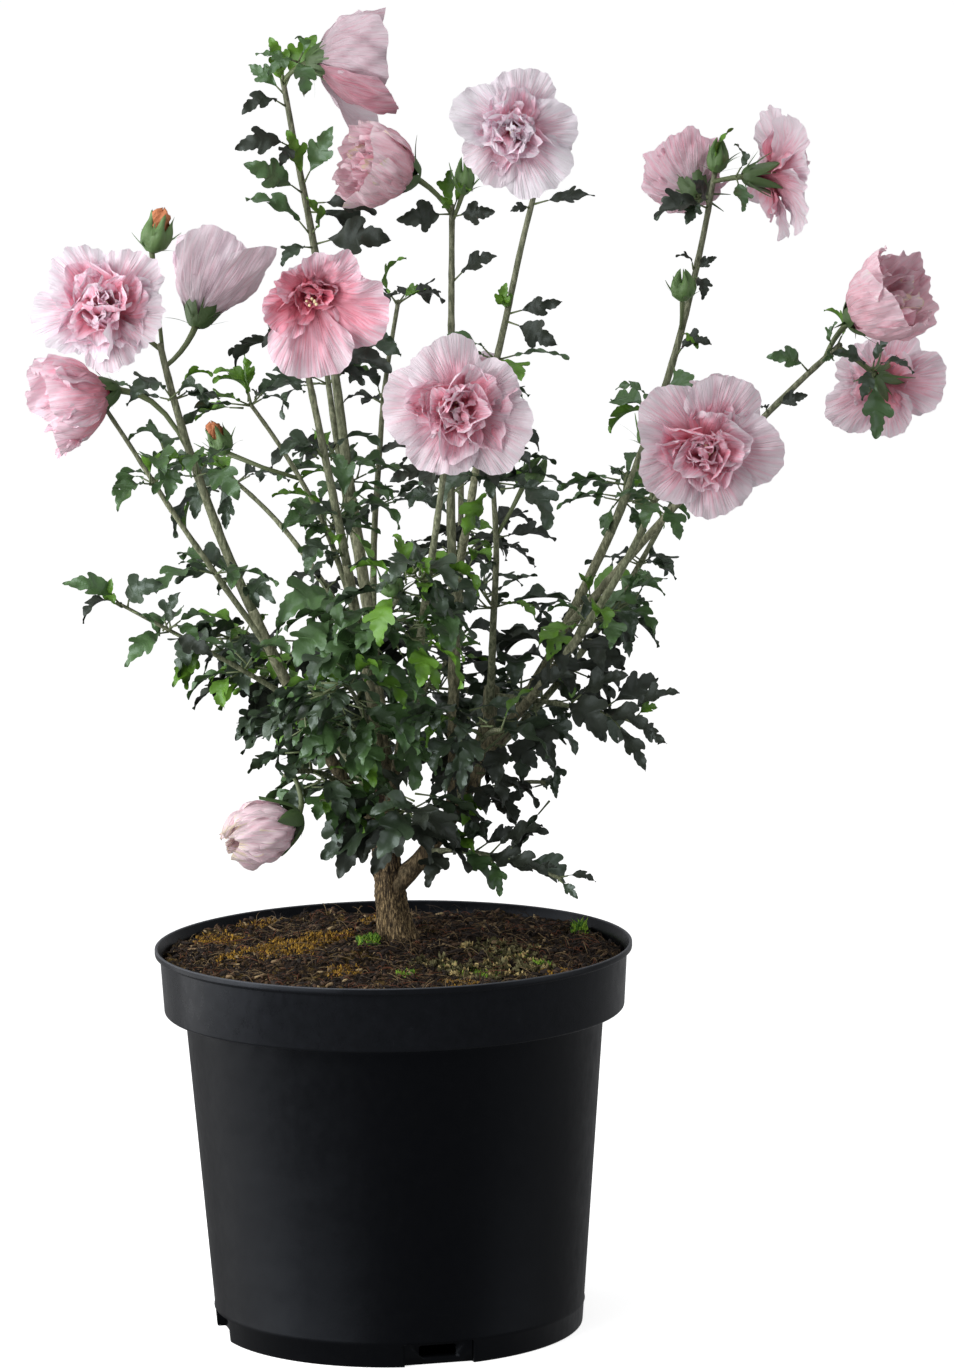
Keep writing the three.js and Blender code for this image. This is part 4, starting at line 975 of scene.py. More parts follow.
def innerPetal(flower, lean, length, width, turn, root, seed):
    # a small frilled petal of the middle, bent and twisted about its own line
    places, faces = sheets["inner"]
    u, v = places[:, 0], (places[:, 1] + 1) / 2
    size = flower["radius"]
    bow = math.radians(120) * (chance(seed, 1) - 0.45)
    curve = math.radians(lean) + bow * (v - 0.4)
    step = length * size
    order = np.unique(np.round(v, 6))
    angles = math.radians(lean) + bow * (order - 0.4)
    pace = np.diff(order, prepend=0)
    lineOut = np.cumsum(np.cos(angles) * pace) * step
    lineHigh = np.cumsum(np.sin(angles) * pace) * step
    at = np.searchsorted(order, np.round(v, 6) - 1e-9)
    shape = 0.32 + 0.68 * np.sin(math.pi / 2 * np.clip(v / 0.8, 0, 1))
    ends = 1 - 0.46 * np.abs(u) ** 2.4 + 0.04 * v * np.sin(u * 9 + seed)
    across = u * width * size * shape * (1 - 0.2 * chance(seed, 2))
    frill = v ** 2.2 * (0.8 + 0.2 * np.abs(u)) * min(1, 0.4 + 0.6 * size / 40)
    hollow = (0.3 + 0.8 * chance(seed, 3)) * (1 if chance(seed, 4) > 0.2 else -0.7)
    fold = hollow * across ** 2 / (width * size)  # a boat, its hollow side mostly to the front
    waves = np.sin(u * 5.5 + 6.3 * chance(seed, 5)) + 0.6 * np.sin(u * 12 + 6 * chance(seed, 6))
    wave = 1.7 * frill * waves
    wave += 0.9 * np.abs(u) ** 2 * np.sin(v * 8 + 6.3 * chance(seed, 12))
    lift = fold + wave + crumpled(u * 1.8, v * 1.8, seed, 0.8)
    roll = math.radians(60) * (chance(seed, 7) - 0.5) + math.radians(40) * (chance(seed, 8) - 0.5) * v
    across, lift = across * np.cos(roll) - lift * np.sin(roll), across * np.sin(roll) + lift * np.cos(roll)
    out = root[0] + lineOut[at] * ends - np.sin(curve) * lift
    high = root[1] + lineHigh[at] * ends + np.cos(curve) * lift
    points = intoBloom(flower, out, np.full(len(u), turn), high, sideways=across)
    tone = 0.33 + 0.25 * v ** 1.1 + 0.1 * np.abs(u) ** 2 * v + 0.2 * v ** 5 - 0.3 * (flower["blush"] - 0.4)
    tone = tone + 0.16 * (chance(seed, 9) - 0.4)
    # in a closed flower the middle is paler: partly its cream colour, partly painted light in the shaded mouth
    if lookOf(flower) == "closed":
        tone = tone + 0.2
    if chance(seed, 10) > 0.75:
        tone = tone + 0.2 * v
    # painted light: the middle's petals are a little brighter still, against the shade in the flower's hollow
    light = flower.get("shade", 1.0) * 1.03
    return points, faces, tone, np.stack([u * width * size, v * step], 1), light


def bloomPetals(flower, number):
    look = lookOf(flower)
    kind = petalKinds[look]
    petals = [outerPetal(flower, kind, k, number * 31 + k * 7 + 1) for k in range(petalCount)]
    seed = number * 57
    depth, full = flower["depth"], flower.get("full", 0.7)
    for ring, (count, leans, lengths, width) in enumerate(ruff[look]):
        count = round(count * (0.6 + 0.5 * full)) if look == "open" else count
        for k in range(count):
            seed += 3
            turn = 2 * math.pi * (k + 1.2 * (chance(seed, 91) - 0.5) + 0.5 * ring) / count + number
            if "gap" in flower and ring < 2:
                aside = (turn - math.radians(flower["gap"]) + math.pi) % (2 * math.pi) - math.pi
                if abs(aside) < 0.42:
                    continue
            lean = between(leans, chance(seed, 92))
            length = between(lengths, chance(seed, 93)) * (0.7 + 0.43 * full)
            root = (flower["radius"] * (0.1 - 0.027 * ring), (8 + 2.5 * ring) * depth)
            if look not in ("open", "trumpet"):
                root = (flower["radius"] * (0.3 - 0.1 * ring), 4 * depth)
                length *= flower.get("tuft", 1) / (0.7 + 0.43 * full)
            petals.append(innerPetal(flower, lean, length, width * (0.8 + 0.3 * full), turn, root, seed))
    return petals


def bakeCells(petals):
    # each petal gets its own square of the flower's bake map, the big ones four squares
    side = 8
    cells = [(2 * (k % 4), 2 * (k // 4), 2) for k in range(petalCount)]
    free = [(c, r, 1) for r in range(side) for c in range(side) if r > 3 or (r > 1 and c > 1)]  # 44 squares
    cells += free
    maps = []
    for (column, line, wide), petal in zip(cells, petals):
        across, along = petal[3][:, 0], petal[3][:, 1]
        flat = np.stack([
            (across - across.min()) / np.ptp(across), (along - along.min()) / np.ptp(along)], 1)
        maps.append((np.array([column, line]) + 0.03 + (wide - 0.06) * flat) / side)
    return maps


petalColours = [(0, "#4d1027"), (0.07, "#8b2f50"), (0.15, "#dc708b"), (0.32, "#f98fa3"), (0.5, "#fbabbe"),
                (0.66, "#fbcbdb"), (0.8, "#fbe1ec"), (1, "#fbeff7")]
wiltedColours = [(0, "#7a2c40"), (0.2, "#dc7d92"), (0.4, "#f4a6b7"), (0.62, "#fac6d3"), (0.8, "#fadbe5"),
                 (0.95, "#fae9ed"), (1, "#f2e2ca")]


def petalMaterial(name, colours):
    # thin living petal: soft and dull, veined and pleated from its foot, with a silky edge to the light
    material, shader = newMaterial(name, 0.62, Specular_IOR_Level=0.3, Sheen_Weight=0.2, Sheen_Roughness=0.4)
    flat = addNode(material, "UVMap", {"uv_map": "petal"})["UV"]  # in millimetres
    drawn = addNode(material, "Mapping", {"Scale": (0.62, 0.035, 1)}, {"Vector": flat})[0]
    veins = addNode(material, "TexNoise", {"Scale": 1.0, "Detail": 4, "Roughness": 0.65}, {"Vector": drawn})[0]
    spot = addNode(material, "TexCoord")["Object"]
    cloud = addNode(material, "TexNoise", {"Scale": lumps(9), "Detail": 2}, {"Vector": spot})[0]
    tone = addNode(material, "Attribute", {"attribute_name": "tone"})["Fac"]
    lines = addNode(material, "MapRange", {1: 0.36, 2: 0.64, 3: -0.12, 4: 0.11}, {0: veins})[0]
    clouded = addNode(material, "Math", {"operation": "MULTIPLY_ADD", 1: 0.24, 2: -0.12}, {0: cloud})[0]
    shade = addNode(material, "Math", {"operation": "ADD"}, {0: tone, 1: lines})[0]
    shade = addNode(material, "Math", {"operation": "ADD"}, {0: shade, 1: clouded})[0]
    pink = addNode(material, "ValToRGB", {"stops": colours}, {"Fac": shade})[0]
    # light: painted light and shade, a factor on the colour for each flower and petal
    light = addNode(material, "Attribute", {"attribute_name": "light"})["Fac"]
    lit = addNode(material, "VectorMath", {"operation": "SCALE"}, {0: pink, "Scale": light})[0]
    colour = addNode(material, "VectorMath", {"operation": "MINIMUM", 1: (0.97, 0.97, 0.97)}, {0: lit})[0]
    link(material, colour, shader.inputs["Base Color"])
    normal = addNode(material, "Bump", {"Distance": 2.1 * mm, "Strength": 1.0}, {"Height": veins})[0]
    link(material, normal, shader.inputs["Normal"])
    through = addNode(material, "BsdfTranslucent", links={"Color": colour, "Normal": normal})[0]
    thin = addNode(material, "MixShader", {0: 0.22}, {1: shader.outputs[0], 2: through})[0]
    link(material, thin, material.node_tree.nodes["Material Output"].inputs["Surface"])
    return material


petalFinish = petalMaterial("double petal", petalColours)
wiltedFinish = petalMaterial("wilted petal", wiltedColours)
petalTriangles = 0
for number, flower in enumerate(flowers):
    petals = bloomPetals(flower, number)
    maps = bakeCells(petals)
    parts = [
        (points, faces, {"tone": tone * np.ones(len(points)), "petal": flat, "OFBake": cell,
                         "light": np.full(len(points), light)})
        for (points, faces, tone, flat, light), cell in zip(petals, maps)
    ]
    mesh = joinedMesh("flower_" + flower["name"], parts)
    finish = wiltedFinish if flower["kind"] == "closed" else petalFinish
    newObject("flower_" + flower["name"], mesh, finish, ["bloom_" + flower["name"]])
    petalTriangles += triangles(mesh)
print("flowers:", len(flowers), "with", petalTriangles, "triangles")

# ---- flowers: calyx, bracts, stamens and buds ----

calyx = {
    # line: radius and height in millimetres of a lobe from the stalk to its point
    "open": [(2.0, -9), (6.5, -7), (7.5, 3), (12.5, 12)],
    "cup": [(2.0, -9), (8.0, -8), (9.5, 3), (16.5, 14)],
    "closed": [(2.0, -9), (9.0, -8), (12.5, 1), (18.5, 14)],
    "lobes": 5, "wide": 37, "bracts": 8, "bractLength": (14, 23), "bractWidth": 2.0, "shortBract": (13, 22),
}
buds = [  # size is length and radius, and tip tells whether the furled petals show
    dict(on="left_thick", at=0.97, foot=(-130, -52, 640), along=(0.3, 0, 0.95), size=(25, 8.8), tip=True),
    dict(on="left_inner", at=0.7, foot=(-94, 28, 515), along=(-0.38, 0, 0.92), size=(20, 7), tip=True),
    dict(on="right_centre", at=0.75, foot=(80, -60, 504), along=(0.6, 0, 0.8), size=(21, 7), tip=False),
    dict(on="right_tall", at=0.97, foot=(196, 64, 673), along=(0.1, 0.1, 0.97), size=(21, 6.5), tip=False),
    dict(on="right_tall", at=0.77, foot=(175, 42, 600), along=(0, -0.1, 0.98), size=(19, 7.5), tip=False),
    dict(on="right_inner", at=0.95, foot=(150, -44, 524), along=(0.1, 0.1, 0.97), size=(17, 6), tip=True),
    dict(on="centre_tall", at=0.97, foot=(48, 42, 664), along=(0, 0, 1), size=(22, 6), tip=False),
    dict(on="crown_front_high", at=0.9, foot=(4, -96, 446), along=(-0.1, 0, 1), size=(16, 7), tip=False),
]
greenParts = []
budParts = []
orangeParts = []


def calyxLobe(place, line, number, seed, wide):
    places, faces = sheets["calyx"]
    u, v = places[:, 0], (places[:, 1] + 1) / 2
    mid, pace = bezier(line, v)
    taper = np.where(v < 0.4, 1, np.clip((1 - v) / 0.6, 0, 1) ** 0.85)
    turn = 2 * math.pi * number / calyx["lobes"] + u * math.radians(wide) * taper + chance(seed, 1)
    lift = 0.7 * (1 - np.abs(u)) + 0.8 * v * np.sin(3 * u + seed + number)
    return place(mid[:, 0] + lift, turn, mid[:, 1]), faces


def bract(place, number, seed, high, spread, lengths):
    # a narrow leaf under the calyx
    places, faces = sheets["bract"]
    u, v = places[:, 0], (places[:, 1] + 1) / 2
    length = between(lengths, chance(seed, 2))
    lean = math.radians(spread * (0.6 + 0.8 * chance(seed, 3)))
    bow = lean + 0.7 * (chance(seed, 4) - 0.4) * v
    out = 2.6 + np.sin(bow) * v * length
    side = u * calyx["bractWidth"] / 2 * np.clip(1.05 - v, 0.05, 1) ** 0.6 * (1.3 if high > -2 else 1)
    turn = 2 * math.pi * (number + 0.5 * (chance(seed, 5) - 0.5)) / calyx["bracts"] + side / out
    return place(out, turn, high + np.cos(bow) * v * length), faces


def bloomPlace(flower):
    def place(out, turn, high):
        return intoBloom(flower, out, turn, high * np.ones_like(turn))
    return place


def budPlace(bud):
    axis = Vector(bud["along"]).normalized()
    side = Vector((0, 1, 0)).cross(axis).normalized()
    axes = np.array([axis, side, axis.cross(side)])
    foot = np.array(bud["foot"], float)

    def place(out, turn, high):
        return foot + np.stack([high * np.ones_like(turn), out * np.cos(turn), out * np.sin(turn)]).T @ axes
    return place


def budBody(bud):
    # five ribbed sepals that stand together, their points free at the top
    length, radius = bud["size"]
    places, faces = gridSheet(40, 12)
    turn = (places[:, 0] + 1) * math.pi
    v = (places[:, 1] + 1) / 2
    full = [0.34, 0.85, 1, 0.93, 0.72, 0.6] if bud["tip"] else [0.34, 0.85, 1, 0.86, 0.5, 0.12]
    swell = np.interp(v, [0, 0.15, 0.4, 0.62, 0.84, 1], full)
    ribs = 1 + 0.09 * np.cos(5 * turn) * np.sin(math.pi * v * 0.9)
    ribs = ribs + 0.035 * np.cos(15 * turn) * np.sin(math.pi * v)
    points = (0.5 + 0.5 * np.cos(5 * turn)) ** 1.4  # 1 along the middle of a sepal
    high = v * length * (1 - 0.45 * v ** 2 * (1 - points)) * (0.94 if bud["tip"] else 1)
    free = 1 + (0.4 if bud["tip"] else 0.5) * points * np.clip((v - 0.7) / 0.3, 0, 1) ** 2
    return budPlace(bud)(radius * swell * ribs * free, turn, high - 1), faces


def budTip(bud, seed):
    # crumpled furled petals between the sepals
    length, radius = bud["size"]
    places, faces = gridSheet(28, 10)
    turn = (places[:, 0] + 1) * math.pi
    v = (places[:, 1] + 1) / 2
    swell = np.interp(v, [0, 0.4, 0.75, 0.92, 1], [0.5, 0.55, 0.56, 0.42, 0.04])
    swell = swell * (1 + 0.22 * np.sin(5 * turn + 5 * v) + 0.14 * np.sin(9 * turn - 6 * v + seed))
    high = length * (0.35 + 0.6 * v) + 1.3 * np.sin(3 * turn + seed) * v + 0.8 * np.sin(7 * turn) * v
    return budPlace(bud)(radius * swell, turn + 0.9 * v, high), faces


for number, flower in enumerate(flowers):
    place = bloomPlace(flower)
    for k in range(calyx["lobes"]):
        greenParts.append(calyxLobe(place, calyx[flower["kind"]], k, number, calyx["wide"]))
    for k in range(calyx["bracts"]):
        greenParts.append(bract(place, k, number * 9 + k, -8, 50, calyx["bractLength"]))
    line = stalkCurve(flower, 7)
    back = Vector(flower["facing"]).normalized() * -8
    twigTubes.append((line[:-1] + [line[-1] + back], (1.5, 1.5, 1.6, 1.7, 1.9, 2.1, 2.4)))
for number, bud in enumerate(buds):
    place = budPlace(bud)
    budParts.append(budBody(bud))
    for k in range(calyx["bracts"]):
        budParts.append(bract(place, k, number * 11 + k + 200, -0.5, 50, calyx["shortBract"]))
    if bud["tip"]:
        orangeParts.append(budTip(bud, number))
    start = limbPoint(limbs[bud["on"]], bud["at"])
    end = Vector(bud["foot"]) + Vector(bud["along"]).normalized()
    twigTubes.append(([start, start.lerp(end, 0.5) + Vector((0, 0, -1)), end], (1.3, 1.3, 1.8)))


def stamenBeads():
    # cream anthers, the few that show over the small petals of an open flower
    ball, faces = smallBall()
    parts = []
    for number, flower in enumerate(flowers):
        if flower["kind"] != "open":
            continue
        for k in range(9):
            seed = number * 40 + k
            turn, out = wholeTurn * chance(seed, 1), flower["radius"] * 0.09 * chance(seed, 2) ** 0.5
            high = (19 + 6 * chance(seed, 3)) * flower["depth"]
            centre = intoBloom(flower, np.array([out]), np.array([turn]), np.array([high]))
            parts.append((ball * (0.7 + 0.5 * chance(seed, 4)) + centre, faces))
    return parts


def plainMaterial(name, colour, roughness, grain, depth):
    # one base colour, with a fine relief on Object coordinates
    material, shader = newMaterial(name, roughness)
    shader.inputs["Base Color"].default_value = linear(colour)
    spot = addNode(material, "TexCoord")["Object"]
    relief = addNode(material, "TexNoise", {"Scale": lumps(grain), "Detail": 3}, {"Vector": spot})[0]
    bump = addNode(material, "Bump", {"Distance": depth * mm, "Strength": 0.7}, {"Height": relief})[0]
    link(material, bump, shader.inputs["Normal"])
    return material


def plainPiece(name, parts, slot, *finish):
    newObject(name, joinedMesh(name, parts), plainMaterial(*finish))


plainPiece("calyces", greenParts, "foliage", "sepal", "#4c6439", 0.48, 1.6, 0.4)
plainPiece("buds", budParts, "foliage", "bud sepal", "#61804a", 0.5, 1.6, 0.4)
plainPiece("bud_tips", orangeParts, "petals", "furled petal", "#c47a50", 0.7, 2.2, 1.2)
plainPiece("stamens", stamenBeads(), "petals", "pollen", "#efe2b4", 0.8, 0.8, 0.2)
print("calyces:", len(greenParts), "parts")

# ---- trunk, boughs and stems ----

bark = {"sides": 72, "rings": 150, "step": 5, "boughSides": 14, "stemSides": 8, "boughRelief": 0.16,
        "stemRelief": 0.06, "node": 30}


def barkRelief(seed, depth, centres):
    # furrows run along the limb, with finer cracks across them
    def relief(ring, turns):
        along = centres[ring][2]
        values = []
        for turn in turns:
            p = Vector((math.cos(turn) * 1.6, math.sin(turn) * 1.6, along / 22 + seed))
            fine = Vector((math.cos(turn) * 4, math.sin(turn) * 4, along / 7 + seed))
            furrow = noise.noise(p * 1.8) - abs(noise.noise(p * 3.1)) * 1.2
            values.append(1 + depth * (furrow + 0.4 * noise.noise(fine)))
        return np.array(values)
    return relief


def makeTrunk():
    limb = limbs["trunk"]
    turns = np.arange(bark["sides"]) / bark["sides"] * 2 * math.pi
    points, rings = [], bark["rings"]
    shares = list(np.linspace(0, 1, rings)) + [1.005, 1.012, 1.014]
    closing = [1] * rings + [0.9, 0.55, 0.1]
    for share, close in zip(shares, closing):
        centre = limbPoint(limb, share)
        along = share * limb["length"]
        flare = trunk["flare"] * math.exp(-along / trunk["flareHeight"])
        for turn in turns:
            radius = radiusAt(limb, share) + flare * (1 + 0.4 * math.cos(trunk["rootLobes"] * turn))
            p = Vector((math.cos(turn), math.sin(turn), along / 26))
            groove = abs(noise.noise(Vector((p.x * 5, p.y * 5, along / 14))))
            ridge = noise.noise(p * 2.6) * 1.1 - groove * 1.5
            crack = noise.noise(Vector((p.x * 7, p.y * 7, along / 2.2))) * 0.7
            radius = (radius + ridge + crack + 0.4) * close
            points.append((centre.x + math.cos(turn) * radius, centre.y + math.sin(turn) * radius, centre.z))
    sides = bark["sides"]
    faces = ringFaces(len(shares), sides)
    faces.append(list(reversed(range(sides))))
    faces.append([(len(shares) - 1) * sides + k for k in range(sides)])
    return np.array(points), faces


def limbTube(limb, first, last, sides, depth, seed):
    # it swells a little at every leaf node, and at its foot into a collar
    node = bark["node"]
    steps = max(3, int((last - first) * limb["length"] / bark["step"]))
    shares = [first + (last - first) * i / steps for i in range(steps + 1)]
    centres = np.array([limbPoint(limb, s) for s in shares])
    radii = []
    for share in shares:
        along = share * limb["length"]
        collar = 1 + 0.45 * math.exp(-max(0.0, along - 5) / 7)
        off = (along % node) - node / 2
        radii.append(radiusAt(limb, share) * collar * (1 + 0.13 * math.exp(-(off / 2.2) ** 2)))
    return tube(centres, radii, sides, barkRelief(seed, depth, centres))


def barkMaterial(name, low, high, from_, to, grain, fissure=1.7, drawn=0.3):
    # fissured bark, blended by height from the low colours to the high ones: on boughs and stems old and brown low
    # down, grey-green and smoother where it is young; on the trunk darker higher up, as painted shade under the
    # crown
    material, shader = newMaterial(name, 0.82, Specular_IOR_Level=0.25)
    spot = addNode(material, "TexCoord")["Object"]
    height = addNode(material, "SeparateXYZ", links={0: spot})["Z"]
    ageAndShade = addNode(material, "MapRange", {1: from_ * mm, 2: to * mm}, {0: height})[0]
    along = addNode(material, "Mapping", {"Scale": (1, 1, drawn)}, {"Vector": spot})[0]
    streak = addNode(material, "TexNoise", {"Scale": lumps(fissure), "Detail": 7, "Roughness": 0.72},
                     {"Vector": along})[0]
    patch = addNode(material, "TexNoise", {"Scale": lumps(14), "Detail": 2}, {"Vector": spot})[0]
    colours = []
    for dark, middle, pale in (low, high):
        stops = [(0.36, dark), (0.5, middle), (0.62, pale)]
        colours.append(addNode(material, "ValToRGB", {"stops": stops}, {"Fac": streak})[0])
    shift = addNode(material, "Math", {"operation": "MULTIPLY_ADD", 1: 0.5, 2: -0.25}, {0: patch})[0]
    blend = addNode(material, "Math", {"operation": "ADD", "use_clamp": True}, {0: ageAndShade, 1: shift})[0]
    mixed = addNode(material, "Mix", {"data_type": "RGBA"}, {0: blend, 6: colours[0], 7: colours[1]})[2]
    link(material, mixed, shader.inputs["Base Color"])
    bump = addNode(material, "Bump", {"Distance": grain * mm, "Strength": 0.9}, {"Height": streak})[0]
    link(material, bump, shader.inputs["Normal"])
    return material


# the trunk's high colours are darker: painted shade under the crown
trunkFinish = barkMaterial("old bark", ("#120e0a", "#564732", "#c4a97c"), ("#17120f", "#3c3128", "#7d6b53"),
                           246, 292, 1.1, fissure=0.85, drawn=0.15)
boughFinish = barkMaterial("bark", ("#2c241a", "#5e503b", "#927f60"), ("#54563f", "#82846a", "#a8a98c"),
                           290, 410, 0.5)
stemFinish = barkMaterial("young bark", ("#4f533e", "#757a5f", "#9a9d81"), ("#4f5440", "#717560", "#94967f"),
                          420, 700, 0.35)
twigFinish = plainMaterial("green twig", "#66724c", 0.55, 1.2, 0.2)

points, faces = makeTrunk()
newObject("trunk_bark", joinedMesh("trunk_bark", [(points, faces)]), trunkFinish, ["trunk"])
boughParts, stemParts = [], []
for number, row in enumerate(stems):
    limb = limbs[row["name"]]
    if row.get("bough"):
        boughParts.append(limbTube(limb, 0, row["bough"], bark["boughSides"], bark["boughRelief"], number))
    if row.get("leafy"):
        stemParts.append(limbTube(limb, row.get("bough", 0), 1, bark["stemSides"], bark["stemRelief"], number))
boughNodes = ["bough_" + row["name"] for row in stems if row.get("bough")]
newObject("boughs", joinedMesh("boughs", boughParts), boughFinish, boughNodes)
newObject("stems", joinedMesh("stems", stemParts), stemFinish)
twigParts = [tube(np.array([tuple(p) for p in line]), radii, 5) for line, radii in twigTubes]
newObject("twigs", joinedMesh("twigs", twigParts), twigFinish)
print("wood:", len(boughParts), "boughs,", len(stemParts), "stems,", len(twigParts), "twigs")

# ---- pot ----

pot = {
    "height": 228, "lipRadius": 140, "lipDepth": 4, "bandTop": 137, "bandBottom": 135, "bandDepth": 38,
    "bodyTop": 123, "foot": 108, "wall": 2.5, "floor": 4, "footRing": 11, "footRingHeight": 18,
    "steps": 144, "round": 0.9,
}
drain = {"count": 4, "first": -77, "wide": 41, "high": 14, "deep": 7, "holeWide": 22, "holeHigh": 6,
         "round": 1.2}


def spun(name, profile, steps):
    # a profile of (radius, height) turned once round the upright axis
    bm = bmesh.new()
    verts = [bm.verts.new((r * mm, 0, z * mm)) for r, z in profile]
    edges = [bm.edges.new(pair) for pair in zip(verts, verts[1:])]
    bmesh.ops.spin(bm, geom=verts + edges, cent=(0, 0, 0), axis=(0, 0, 1), angle=2 * math.pi, steps=steps,
                   use_merge=True)
    bmesh.ops.remove_doubles(bm, verts=bm.verts, dist=1e-6)
    bmesh.ops.recalc_face_normals(bm, faces=bm.faces)
    mesh = bpy.data.meshes.new(name)
    bm.to_mesh(mesh)
    bm.free()
    return mesh


def rounded(profile, keep, radius, steps=3):
    # each corner but those in keep gets a small arc
    result = []
    for i, (r, z) in enumerate(profile):
        if i in keep or i in (0, len(profile) - 1):
            result.append((r, z))
            continue
        here = Vector((r, z))
        before, after = Vector(profile[i - 1]) - here, Vector(profile[i + 1]) - here
        cut = min(radius, before.length * 0.4, after.length * 0.4)
        a, b = here + before.normalized() * cut, here + after.normalized() * cut
        for k in range(steps + 1):
            t = k / steps
            p = a * (1 - t) ** 2 + here * 2 * t * (1 - t) + b * t ** 2
            result.append((p.x, p.y))
    return result


def drainCutter(size, centre, turn):
    bm = bmesh.new()
    bmesh.ops.create_cube(bm, size=mm)
    bmesh.ops.scale(bm, vec=size, verts=bm.verts)
    bmesh.ops.bevel(bm, geom=bm.edges[:], offset=drain["round"] * mm, segments=2, profile=0.5,
                    affect="EDGES", material=-1)
    bmesh.ops.translate(bm, vec=Vector(centre) * mm, verts=bm.verts)
    bmesh.ops.transform(bm, matrix=turn, verts=bm.verts)
    mesh = bpy.data.meshes.new("cutter")
    bm.to_mesh(mesh)
    bm.free()
    cutter = bpy.data.objects.new("cutter", mesh)
    bpy.context.scene.collection.objects.link(cutter)
    return cutter


def makePot():
    shelf, underLip = pot["height"] - pot["bandDepth"], pot["height"] - pot["lipDepth"]
    ring, wall = pot["footRingHeight"], pot["wall"]

    def body(z):
        return pot["foot"] + (pot["bodyTop"] - pot["foot"]) * z / shelf
    profile = [
        (0, 1.2), (pot["foot"] - 14, 1.2), (pot["foot"] - 12, 0), (pot["foot"], 0), (body(13), 13),
        (body(14) + 0.5, 14), (body(15.5), 15.5), (pot["bodyTop"], shelf),
        (pot["bandBottom"], shelf), (pot["bandTop"], underLip), (pot["lipRadius"], underLip),
        (pot["lipRadius"], pot["height"]), (pot["lipRadius"] - 1.5, pot["height"]),
        (pot["bandTop"] - wall + 0.6, pot["height"] - 6),
        (pot["bandBottom"] - wall, shelf + wall), (pot["bodyTop"] - wall, shelf + wall),
        (body(ring + 8) - wall, ring + 8), (body(ring) - pot["footRing"], ring),
        (body(4) - pot["footRing"], pot["floor"]), (0, pot["floor"]),
    ]
    mesh = spun("pot_shell", rounded(profile, {4, 5, 6}, pot["round"] * 1.6), pot["steps"])
    piece = newObject("pot_shell", mesh, None, ["pot"])
    foot, deep = pot["foot"], drain["deep"]
    holeHeight = pot["floor"] + 1 + drain["holeHigh"] / 2
    boxes = [  # the slot in the foot, and the hole through the wall above it
        ((4 * deep, drain["wide"], 2 * drain["high"]), (foot + deep, 0, 0)),
        ((4 * pot["footRing"], drain["holeWide"], drain["holeHigh"]), (foot - pot["footRing"], 0, holeHeight)),
    ]
    cutters = []
    for i in range(drain["count"]):
        turn = Matrix.Rotation(math.radians(drain["first"] - 90 + 360 / drain["count"] * i), 4, "Z")
        for size, centre in boxes:
            cutters.append(drainCutter(size, centre, turn))
            cut = piece.modifiers.new("cut", "BOOLEAN")
            cut.operation, cut.object, cut.solver = "DIFFERENCE", cutters[-1], "EXACT"
    cutMesh = bpy.data.meshes.new_from_object(piece.evaluated_get(bpy.context.evaluated_depsgraph_get()))
    piece.modifiers.clear()
    piece.data = cutMesh
    for cutter in cutters:
        bpy.data.objects.remove(cutter)
    cutMesh.materials.clear()
    cutMesh.materials.append(potMaterial())
    cutMesh.polygons.foreach_set("use_smooth", np.ones(len(cutMesh.polygons), bool))
    with bpy.context.temp_override(object=piece, active_object=piece, selected_editable_objects=[piece]):
        bpy.ops.object.shade_auto_smooth(angle=math.radians(35))


